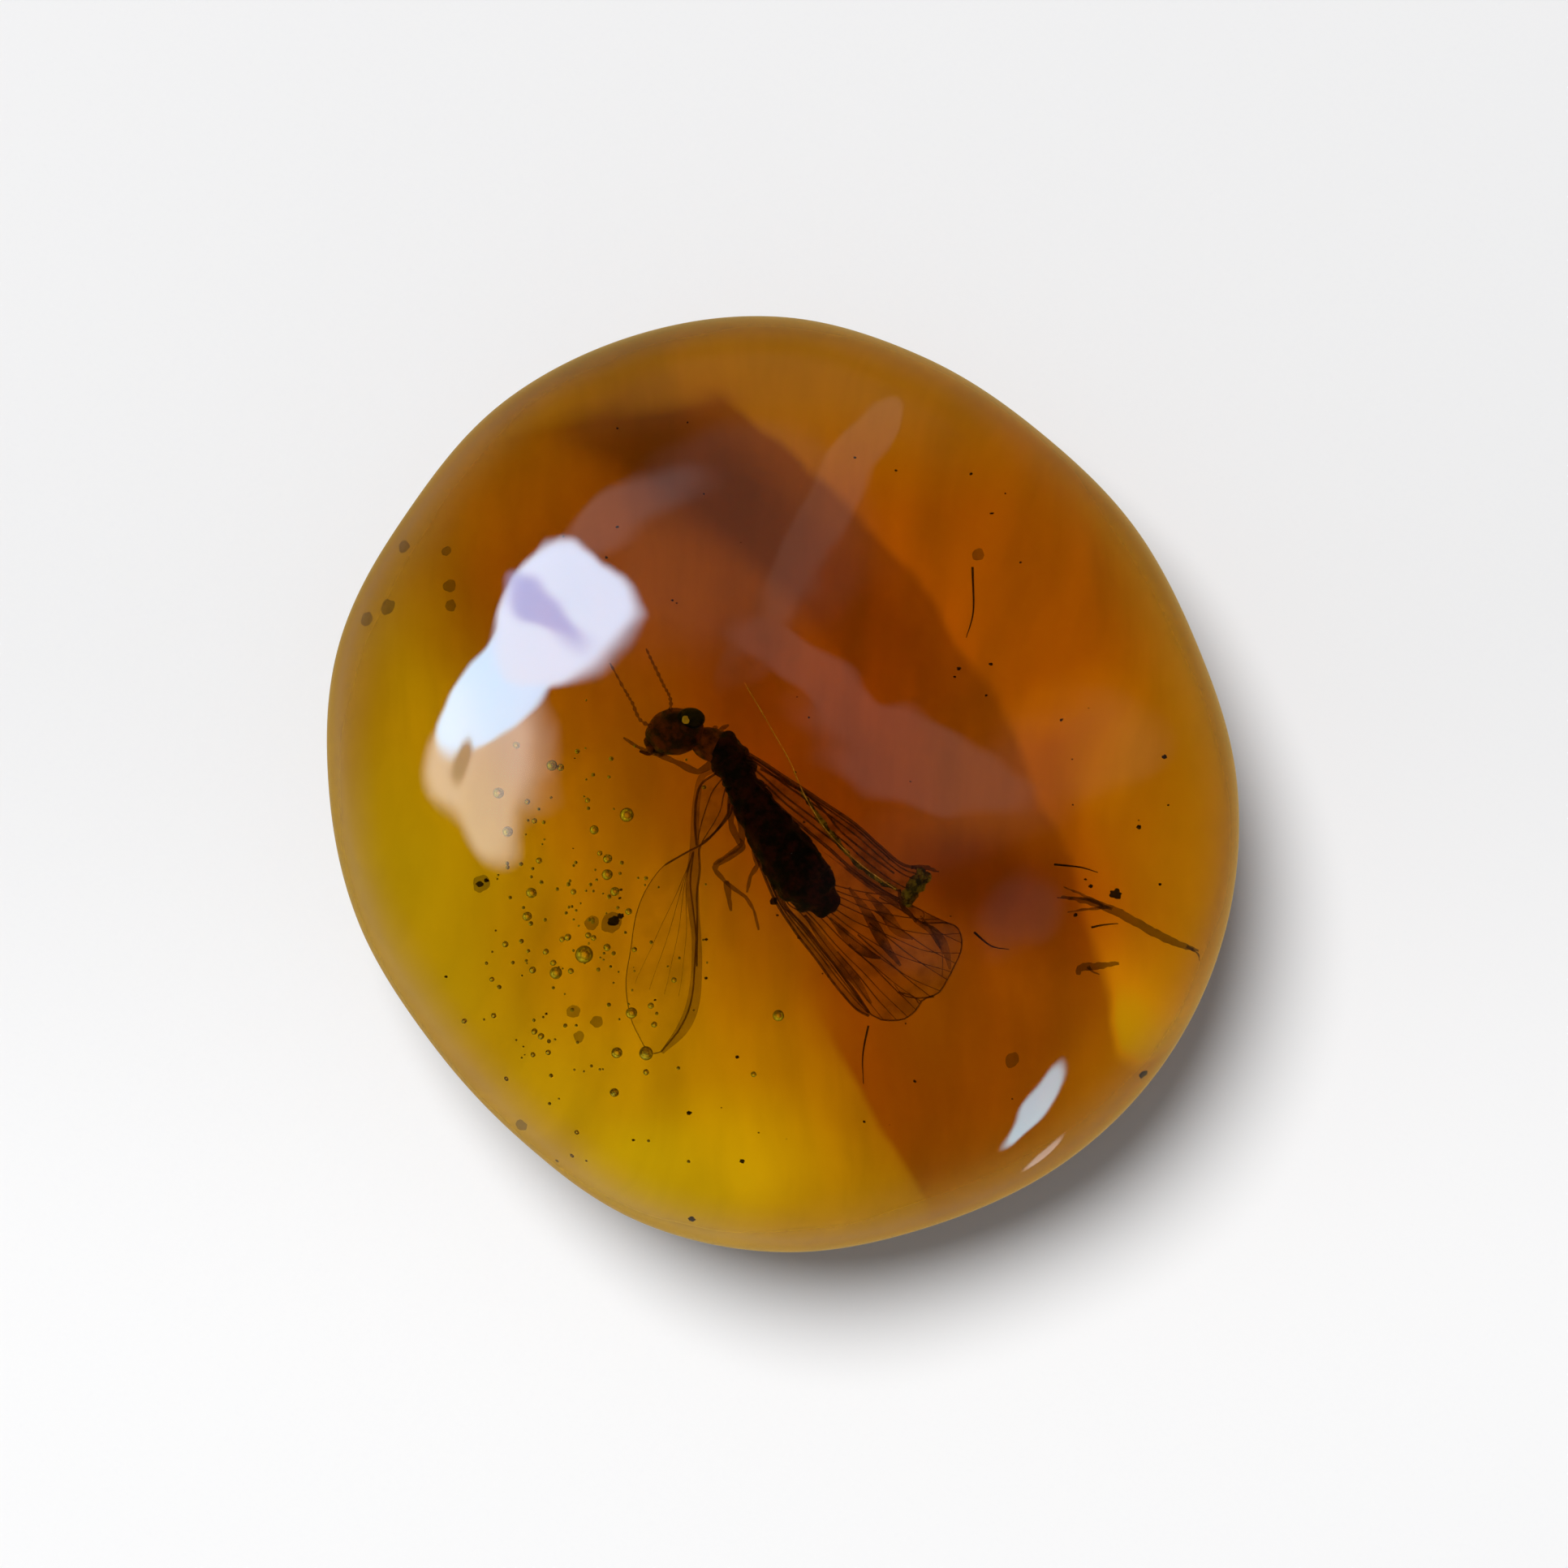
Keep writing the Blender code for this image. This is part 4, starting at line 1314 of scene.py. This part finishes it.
    def build_eye(self) -> None:
        """The compound eye, and a small pale lump on it that is a painted glint."""
        bm = bmesh.new()
        add_ball(bm, self.eye_centre, self.eye_sizes, 5, 0.05, 4.0)
        finish_piece("insect_eye", bm, self.eye_finish.material(), Slot.INSECT)
        bm = bmesh.new()
        add_ball(bm, self.eye_glint_centre, (0.085, 0.1, 0.05), 4, 0.3, 5.0)
        finish_piece("eye_glint_spot", bm, self.glint_spot_finish.material(), Slot.INSECT)

    def build_limbs(self) -> None:
        """Jointed legs and beaded antennae."""
        bm = bmesh.new()
        for route in self.legs:
            count = (len(route) - 1) * 8 + 1
            points = self.jointed(route, 8)
            radii = even_radii(count, 0.085, 0.03)
            for index in range(count):
                radii[index] *= 0.85 + 0.35 * math.sin(math.pi * (index % 8) / 8)
            Tube(points, radii, 10).build(bm)
        for route in self.antennae:
            count = 53
            points = smooth_route(route, count)
            radii = even_radii(count, 0.042, 0.026)
            radii = [radius * (1.25 if index % 4 in (1, 2) else 0.7) for index, radius in enumerate(radii)]
            Tube(points, radii, 8).build(bm)
        self.rumple(bm, 0.012, 0.15, 8.0)
        finish_piece("insect_legs_and_antennae", bm, self.limb_finish.material(), Slot.INSECT)

    def build_wings(self) -> None:
        """The membranes, and one piece for all the veins."""
        veins = bmesh.new()
        for wing in self.wings():
            wing.prepare()
            wing.build_membrane()
            wing.add_veins(veins)
        for line in self.wing_lines:
            thread(veins, line, 30, 0.032, 0.022, 8)
        finish_piece("wing_veins", veins, self.vein_finish.material(), Slot.INSECT)
        strip = bmesh.new()
        sweep(strip, self.strip_route, 70, self.strip_widths, 14, 0.35)
        finish_piece("left_hindwing_strip", strip, self.strip_finish.material(), Slot.INSECT)

    def build_folds(self) -> None:
        """Dark folds and arcs of the crumpled hindwing, and the torn grey end of the forewing."""
        folds = bmesh.new()
        for fold in self.dark_folds:
            widths = smooth_widths((0.03, 0.1, 0.13, 0.09, 0.03), 30)
            Tube(smooth_route(fold, 30), widths, 8, 0.15).build(folds)
        for arc in self.fold_arcs:
            thread(folds, arc, 24, 0.022, 0.014, 6)
        finish_piece("hindwing_folds", folds, self.dark_film.material(), Slot.INSECT)
        torn = bmesh.new()
        sweep(torn, self.grey_streak, 40, (0.01, 0.05, 0.06, 0.07, 0.05, 0.06, 0.05), 8, 0.3)
        for tuft in (((3.3, -2.0, 6.62), (3.1, -2.3, 6.6), (2.9, -2.6, 6.55), (2.84, -2.85, 6.5)),
                     ((3.45, -2.1, 6.6), (3.2, -2.4, 6.55), (3.0, -2.65, 6.5), (2.93, -2.9, 6.48))):
            sweep(torn, tuft, 24, (0.08, 0.14, 0.12, 0.06), 14, 0.5)
        self.rumple(torn, 0.07, 0.12, 9.0)
        finish_piece("forewing_torn_end", torn, self.torn_finish.material(), Slot.INSECT)
        dark = bmesh.new()
        spikes = (((3.0, -1.98, 6.62), (3.35, -1.99, 6.62), (3.67, -2.08, 6.6)),
                  ((3.4, -2.2, 6.58), (3.16, -2.52, 6.54), (2.95, -2.75, 6.5)),
                  ((2.72, -2.5, 6.55), (2.8, -2.9, 6.45), (2.98, -3.1, 6.3), (3.1, -3.24, 6.15)))
        for spike in spikes:
            sweep(dark, spike, 20, (0.05, 0.06, 0.02), 8, 0.6)
        self.rumple(dark, 0.03, 0.1, 10.0)
        finish_piece("forewing_torn_edge", dark, self.vein_finish.material(), Slot.INSECT)

    @staticmethod
    def jointed(route: Route, per_piece: int) -> list[Vector]:
        """A leg's route: nearly straight pieces between its joints.

        Args:
            route: the joints.
            per_piece: points to each piece.

        Returns:
            The points.
        """
        straight = []
        for start, end in zip(route, route[1:]):
            for step in range(per_piece):
                straight.append(Vector(start).lerp(Vector(end), step / per_piece))
        straight.append(Vector(route[-1]))
        curved = smooth_route(route, len(straight))
        return [a.lerp(b, 0.35) for a, b in zip(straight, curved)]

    @staticmethod
    def rumple(bm: Mesh, depth: float, size: float, seed: float) -> None:
        """Dent a mesh with smooth noise.

        Args:
            bm: the mesh.
            depth: how far its points move.
            size: width of the dents.
            seed: moves the pattern.
        """
        bmesh.ops.recalc_face_normals(bm, faces=bm.faces)
        bm.normal_update()
        for vertex in bm.verts:
            vertex.co += vertex.normal * depth * roughness_at(vertex.co, size, seed)


# ---- Debris ----


@dataclass
class Debris:
    """Plant splinter, twig, silk fibre, grains, specks and hairs in the amber."""

    splinter_route: Route = (
        (6.45, -2.64, 5.8), (7.1, -2.78, 5.9), (7.74, -3.03, 6.0), (8.4, -3.38, 6.05), (9.2, -3.76, 6.1),
        (10.0, -4.05, 6.1),
    )
    splinter_widths: Sequence[float] = (0.03, 0.08, 0.1, 0.1, 0.09, 0.03)
    twig_route: Route = ((6.88, -4.42, 5.95), (6.95, -4.28, 6.0), (7.36, -4.26, 6.02), (7.8, -4.2, 5.95))
    twig_widths: Sequence[float] = (0.04, 0.09, 0.08, 0.03)
    fibre_route: Route = (
        (-0.94, 2.4, 7.2), (-0.4, 1.52, 7.3), (0.14, 0.55, 7.32), (0.5, -0.3, 7.3), (1.05, -1.15, 7.26),
        (1.86, -1.94, 7.2), (2.65, -2.5, 7.1),
    )
    grain_centre: Point = (7.74, -2.6, 6.3)
    hairs: Sequence[Route] = (
        ((4.45, -3.45, 6.0), (4.84, -3.78, 6.0), (5.25, -3.86, 6.0)),
        ((7.15, -3.37, 6.0), (7.45, -3.32, 6.0), (7.76, -3.3, 6.0)),
        ((1.97, -5.6, 5.4), (1.8, -6.2, 5.3), (1.77, -6.82, 5.2)),
        ((6.3, -1.9, 6.1), (6.9, -1.98, 6.1), (7.3, -2.1, 6.1)),
        ((4.3, 5.0, 6.0), (4.35, 4.0, 6.0), (4.2, 3.4, 6.0)),
    )
    specks: Sequence[Dot] = (
        (-0.2, -2.79, 5.9, 0.09), (4.06, 2.67, 6.2, 0.05), (4.76, 2.76, 6.0, 0.04),
        (8.78, 0.41, 5.6, 0.06), (8.2, -1.09, 5.8, 0.05), (6.77, -3.07, 5.8, 0.05),
        (7.1, -2.42, 5.8, 0.05), (8.55, -6.9, 5.2, 0.12), (-3.91, -3.17, 5.4, 0.13),
        (-3.75, -3.05, 5.3, 0.07), (-2.12, -7.53, 5.0, 0.05), (-1.0, -8.56, 4.6, 0.05),
        (-2.03, -9.78, 4.2, 0.07), (-1.06, -6.32, 5.4, 0.04), (-6.94, -2.22, 5.0, 0.07),
        (-6.8, -2.15, 5.0, 0.05),
    )
    mould_dots: Sequence[Dot] = (
        (4.42, 5.27, 6.0, 0.13), (5.25, -6.19, 5.2, 0.16), (-7.6, 4.52, 5.0, 0.17),
        (-7.54, 4.02, 5.0, 0.15), (-7.78, 5.46, 5.0, 0.12), (-8.99, 5.63, 4.6, 0.16),
        (-9.28, 4.1, 4.6, 0.2), (-9.79, 3.85, 4.4, 0.16), (-4.42, -3.19, 5.2, 0.16),
        (-3.95, -3.2, 5.2, 0.24), (-5.82, -7.75, 4.4, 0.14), (-6.9, -2.2, 4.9, 0.18),
        (-4.75, -5.2, 5.0, 0.15), (-4.6, -5.8, 5.0, 0.12), (-4.2, -5.45, 5.0, 0.14),
    )
    # Painted highlights: white metal balls inside four bubbles, put there to make their glints.
    glint_balls: Sequence[Dot] = (
        (-3.19, -6.36, 6.9, 0.1), (-6.48, -1.1, 6.8, 0.08), (-3.92, -7.28, 6.7, 0.07),
        (-5.46, 0.46, 6.9, 0.06),
    )
    scatter_count: int = 60
    seed: int = 5

    def build(self) -> None:
        """Build and dress every piece of debris."""
        plant = CuticleFinish("old_plant_fibre", (0.04, 0.011, 0.003), (0.13, 0.04, 0.008), 6.0, 0.8, 0.42)
        grit = CuticleFinish("dark_grit", (0.008, 0.005, 0.002), (0.04, 0.02, 0.006), 8.0, 0.9, 0.8)
        mould = CuticleFinish("cloudy_mould", (0.03, 0.02, 0.004), (0.10, 0.06, 0.01), 5.0, 0.9, 0.3)
        # Pale thread: its light pinkish patches are partly its own colour, partly painted glints.
        silk = CuticleFinish("silk_thread", (0.7, 0.36, 0.3), (0.95, 0.62, 0.75), 4.0, 0.25, 0.6, 0.8, 0.3)
        # White metal for the balls that make the bubbles' glints.
        glint_finish = CuticleFinish(
            "glint_ball_metal", (0.9, 0.9, 0.9), (0.97, 0.97, 0.97), 3.0, 0.3, gloss=0.5, metal=1.0)
        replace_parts(self.build_splinter(plant), "plant_splinter")
        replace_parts(self.build_twig(plant), "twig_fragment")
        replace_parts(self.build_fibre(silk), "silk_fibre")
        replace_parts(self.build_grain(grit), "debris_grain")
        self.build_specks(grit)
        self.build_dots("mould_dots", self.mould_dots, 0.3, mould)
        self.build_dots("bubble_glint_balls", self.glint_balls, 0.1, glint_finish)

    def build_splinter(self, finish: CuticleFinish) -> Piece:
        """The bent splinter with its frayed end."""
        count = 60
        bm = bmesh.new()
        sweep(bm, self.splinter_route, count, self.splinter_widths, 12, 0.7)
        strands = (
            ((7.4, -2.86, 5.95), (6.9, -2.6, 5.95), (6.5, -2.42, 5.9)),
            ((7.5, -2.9, 5.9), (6.95, -2.95, 5.85), (6.6, -3.0, 5.8)),
            ((7.6, -2.95, 5.92), (7.0, -2.72, 5.85), (6.35, -2.66, 5.75)),
            ((9.6, -3.9, 6.1), (9.95, -4.1, 6.08), (10.05, -4.3, 6.0)),
        )
        for strand in strands:
            thread(bm, strand, 14, 0.045, 0.012, 6)
        Insect.rumple(bm, 0.03, 0.12, 1.0)
        return finish_piece("splinter_frayed", bm, finish.material(), Slot.PLANT)

    def build_twig(self, finish: CuticleFinish) -> Piece:
        """The short twig fragment with a side stub."""
        bm = bmesh.new()
        sweep(bm, self.twig_route, 30, self.twig_widths, 12, 0.8)
        stub = smooth_route(((7.1, -4.26, 6.0), (7.2, -4.38, 6.0), (7.35, -4.45, 5.98)), 8)
        Tube(stub, even_radii(8, 0.04, 0.012), 6).build(bm)
        Insect.rumple(bm, 0.03, 0.1, 2.0)
        return finish_piece("twig_cracked", bm, finish.material(), Slot.PLANT)

    def build_fibre(self, finish: CuticleFinish) -> Piece:
        """The pale glinting fibre, a flat twisted ribbon."""
        count = 90
        bm = bmesh.new()
        radii = [0.006 + 0.009 * abs(math.sin(index * 0.4)) for index in range(count)]
        Tube(smooth_route(self.fibre_route, count), radii, 8, 0.6).build(bm)
        return finish_piece("silk_thread", bm, finish.material(), Slot.FIBRE)

    def build_grain(self, finish: CuticleFinish) -> Piece:
        """The dark grain beside the splinter."""
        bm = bmesh.new()
        add_ball(bm, self.grain_centre, (0.13, 0.1, 0.09), 4, 0.8, 7.0)
        return finish_piece("grain_lump", bm, finish.material(), Slot.GRAIN)

    def build_specks(self, finish: CuticleFinish) -> Piece:
        """Specks and hairs, in one piece."""
        chance = random.Random(self.seed)
        bm = bmesh.new()
        for index, (x, y, z, size) in enumerate(self.specks):
            add_ball(bm, (x, y, z), (size, size * 0.8, size * 0.6), 3, 0.7, index * 3.1)
        for index in range(self.scatter_count):
            turn, reach = chance.uniform(0.0, math.tau), 9.0 * math.sqrt(chance.random())
            size = chance.uniform(0.015, 0.045)
            centre = (reach * math.cos(turn), reach * math.sin(turn), chance.uniform(3.5, 7.0))
            add_ball(bm, centre, (size, size * chance.uniform(0.5, 1.0), size), 1, 0.6, index * 1.3)
        for hair in self.hairs:
            thread(bm, hair, 16, 0.028, 0.01, 5)
        return finish_piece("specks_and_hairs", bm, finish.material(), Slot.GRAIN)

    @staticmethod
    def build_dots(name: str, dots: Sequence[Dot], lumps: float,
                   finish: CuticleFinish) -> Piece:
        """Small lumps of one kind, in one piece.

        Args:
            name: the piece's name.
            dots: place and size of each.
            lumps: how rough they are.
            finish: their finish.

        Returns:
            The finished object.
        """
        bm = bmesh.new()
        for index, (x, y, z, size) in enumerate(dots):
            add_ball(bm, (x, y, z), (size, size, size), 3, lumps, index * 2.3)
        return finish_piece(name, bm, finish.material(), Slot.GRAIN)


# ---- Studio ----


@dataclass(frozen=True)
class Window:
    """A soft patch of brightness around the studio, seen in the polish.

    Its place is in the stereographic plane: direction x and y over one plus z.
    """

    centre: Pair
    half_sizes: Pair
    turn: float
    light: Colour
    softness: float = 0.15
    squareness: float = 2.0
    waver: float = 0.0

    def lay(self, graph: Graph, plane: Socket, ripple: Socket,
            under: Socket) -> Socket:
        """Lay the patch over what is behind it.

        Args:
            graph: the world's graph.
            plane: the stereographic place that is looked at.
            ripple: noise about zero that bends its edge.
            under: the light so far.

        Returns:
            The light with the patch on it.
        """
        x, y, _ = graph.axes(graph.oval(plane, self.centre, self.half_sizes, self.turn))
        powers = [graph.math("POWER", graph.math("ABSOLUTE", axis), self.squareness) for axis in (x, y)]
        reach = graph.math("POWER", graph.plus(*powers), 1.0 / self.squareness)
        if self.waver:
            reach = graph.plus(reach, graph.times(ripple, self.waver))
        inside = graph.ramp(reach, 1.0 - self.softness, 1.0 + self.softness, 1.0, 0.0)
        return graph.blend(inside, under, self.light)


@dataclass
class Studio:
    """Pale floor, soft light, and a camera straight above."""

    camera_height: float = 114.3
    view_width: float = 40.35
    view_plane: float = 4.3
    sensor: float = 36.0
    floor_gap: float = 0.03
    floor_half: float = 1500.0
    ambient: Colour = (0.19, 0.19, 0.193)
    under_light: Colour = (0.95, 0.95, 0.97)
    side_light: Colour = (0.85, 0.8, 0.75)
    ring_light: Colour = (0.06, 0.06, 0.05)
    foot_glow: Colour = (0.42, 0.30, 0.12)
    bounces: int = 14
    wall: Colour = (0.8, 0.8, 0.8)
    glow: Colour = (0.25, 0.25, 0.27)
    back_light: Colour = (2.4, 2.35, 2.4)
    dark: Colour = (0.006, 0.006, 0.007)
    horizon: Colour = (0.34, 0.33, 0.33)
    key_place: Point = (-190.0, 260.0, 680.0)
    key_size: float = 370.0
    key_power: float = 5.95
    haze: Sequence[Window] = (
        Window((0.0, 0.95), (0.5, 0.32), 0.0, (0.14, 0.12, 0.13), 0.5, waver=0.4),
        Window((-0.05, 0.38), (0.19, 0.25), -25.0, (0.25, 0.21, 0.25), 0.3, waver=0.3),
        Window((-0.27, 0.385), (0.17, 0.075), 14.0, (0.85, 0.80, 0.92), 0.3, waver=0.4),
        Window((0.19, 0.55), (0.48, 0.042), 63.0, (0.56, 0.50, 0.52), 0.15, waver=0.15),
        Window((0.55, 0.15), (0.48, 0.07), 25.0, (0.19, 0.16, 0.18), 0.4, waver=0.3),
        Window((0.05, 0.09), (0.12, 0.036), -38.0, (0.50, 0.45, 0.50), 0.15, waver=0.2),
        Window((0.17, 0.035), (0.15, 0.048), -6.0, (0.50, 0.45, 0.50), 0.2, waver=0.25),
        Window((0.30, -0.16), (0.075, 0.05), 0.0, (0.22, 0.18, 0.21), 0.5, waver=0.3),
        Window((0.15, -0.19), (0.04, 0.03), 0.0, (0.13, 0.11, 0.12), 0.5),
    )
    panes: Sequence[Window] = (
        Window((-0.50, 0.05), (0.20, 0.12), -8.0, (7.0, 6.4, 5.8), 0.25, waver=0.35),
        Window((-0.445, -0.05), (0.08, 0.085), 0.0, (6.6, 6.0, 5.2), 0.35, waver=0.3),
        Window((-0.50, 0.175), (0.185, 0.13), 0.0, (9.0, 15.5, 21.5), 0.1, 2.2, waver=0.15),
        Window((-0.385, 0.262), (0.235, 0.082), -27.0, (11.5, 15.5, 20.0), 0.13, 2.2, waver=0.3),
        Window((-0.43, 0.275), (0.20, 0.022), -31.0, (5.5, 8.5, 15.5), 0.4, waver=0.4),
        Window((-0.55, 0.035), (0.028, 0.04), 15.0, (1.6, 2.2, 2.6), 0.5),
        Window((0.525, -0.87), (0.035, 0.19), 0.0, (4.0, 7.4, 9.0), 0.25, waver=0.2),
        Window((0.83, -1.42), (0.05, 0.17), 14.0, (2.2, 2.1, 2.2), 0.3),
    )

    def build(self) -> None:
        """Set up floor, light and camera."""
        self.build_floor()
        self.build_world()
        self.build_key()
        self.build_camera()

    def build_floor(self) -> None:
        """The plain pale floor just under the pebble, left out of reflections."""
        bm = bmesh.new()
        bmesh.ops.create_grid(bm, x_segments=1, y_segments=1, size=self.floor_half * MILLIMETRE)
        bmesh.ops.translate(bm, vec=(0.0, 0.0, -self.floor_gap * MILLIMETRE), verts=bm.verts)
        mesh = bpy.data.meshes.new("floor")
        bm.to_mesh(mesh)
        bm.free()
        mesh.materials.append(FloorFinish().material())
        floor = bpy.data.objects.new("floor", mesh)
        floor.visible_glossy = False
        bpy.context.scene.collection.objects.link(floor)

    def build_world(self) -> None:
        """Even light on the floor, more through the amber, and windows in the polish."""
        world = bpy.data.worlds.new("studio")
        bpy.context.scene.world = world
        world.use_nodes = True
        world.cycles.sampling_method = "NONE"
        graph = Graph(world.node_tree)
        x, y, z = graph.axes(graph.add("TexCoord").outputs["Generated"])
        rise = graph.math("MAXIMUM", graph.plus(z, 1.0), 0.02)
        place = graph.vector(graph.math("DIVIDE", x, rise), graph.math("DIVIDE", y, rise))
        side = graph.ramp(graph.plus(x, graph.times(y, 0.8)), -0.9, 0.9, 1.0, 0.3)
        level = graph.times(graph.ramp(z, -0.7, 0.0, 1.0, 0.0), side)
        polish = graph.blend(level, self.dark, self.horizon)
        polish = graph.blend(graph.ramp(z, -0.9, -0.6, 1.0, 0.0), polish, self.foot_glow)
        ripple = graph.minus(graph.noise(place, 6.0, 4.0), 0.5)
        for window in (*self.haze, *self.panes):
            polish = window.lay(graph, place, ripple, polish)
        through = graph.add("RGB").outputs[0]
        through.default_value = (*self.wall, 1.0)
        rays = graph.add("LightPath").outputs
        turned = graph.math("GREATER_THAN", rays["Glossy Depth"], 0.5)
        through = graph.blend(turned, through, self.side_light)
        twice = graph.math("GREATER_THAN", rays["Transmission Depth"], 3.5)
        through = graph.blend(twice, through, self.ring_light)
        under = graph.math("GREATER_THAN", rays["Transmission Depth"], 1.5)
        ambient = graph.blend(under, self.ambient, self.under_light)
        behind = graph.math("GREATER_THAN", rays["Transmission Depth"], 2.5)
        scattered = graph.math("GREATER_THAN", rays["Diffuse Depth"], 0.5)
        lit = graph.blend(behind, self.glow, self.back_light)
        inner = graph.blend(scattered, through, lit)
        plain, glossy, seen_through = (self.lamp(graph, colour) for colour in (ambient, polish, inner))
        light = self.choose(graph, rays["Is Glossy Ray"], plain, glossy)
        light = self.choose(graph, rays["Is Transmission Ray"], light, seen_through)
        graph.join(light, world.node_tree.nodes["World Output"].inputs["Surface"])

    @staticmethod
    def lamp(graph: Graph, colour: Socket) -> Socket:
        """Surroundings of one colour.

        Args:
            graph: the world's graph.
            colour: the colour's socket.

        Returns:
            Their shader's socket.
        """
        node = graph.add("Background")
        graph.join(colour, node.inputs["Color"])
        return node.outputs[0]

    @staticmethod
    def choose(graph: Graph, factor: Socket, first: Socket,
               second: Socket) -> Socket:
        """Choose between two surroundings; the one that isn't chosen costs no time.

        Args:
            graph: the world's graph.
            factor: 0 for the first, 1 for the second.
            first: the shader socket of the first.
            second: the shader socket of the second.

        Returns:
            The chosen one's shader socket.
        """
        node = graph.add("MixShader")
        for source, target in zip((factor, first, second), node.inputs):
            graph.join(source, target)
        return node.outputs[0]

    def build_key(self) -> None:
        """The soft key light that throws the shadow to the lower right."""
        lamp = bpy.data.lights.new("key", "AREA")
        lamp.shape = "DISK"
        lamp.size = self.key_size * MILLIMETRE
        lamp.energy = self.key_power
        key = bpy.data.objects.new("key", lamp)
        place = Vector(self.key_place) * MILLIMETRE
        key.location = place
        key.rotation_euler = (-place).to_track_quat("-Z", "Y").to_euler()
        key.visible_glossy = False
        key.visible_transmission = False
        bpy.context.scene.collection.objects.link(key)

    def build_camera(self) -> None:
        """A camera straight above, its picture's top towards +Y."""
        lens = bpy.data.cameras.new("camera")
        lens.sensor_width = self.sensor
        lens.lens = self.sensor * (self.camera_height - self.view_plane) / self.view_width
        lens.clip_start = 0.001
        lens.clip_end = 10.0
        camera = bpy.data.objects.new("camera", lens)
        camera.location = (0.0, 0.0, self.camera_height * MILLIMETRE)
        bpy.context.scene.collection.objects.link(camera)
        bpy.context.scene.camera = camera
        bpy.context.scene.view_settings.view_transform = "Standard"
        paths = bpy.context.scene.cycles
        paths.max_bounces = self.bounces
        paths.transmission_bounces = self.bounces
        paths.glossy_bounces = self.bounces
        paths.transparent_max_bounces = self.bounces


def main() -> None:
    """Build every sub-assembly in order."""
    logging.basicConfig(level=logging.INFO, format="%(name)s %(message)s")
    Studio().build()
    Pebble().build()
    Insect().build()
    Debris().build()


if __name__ == "__main__":
    main()
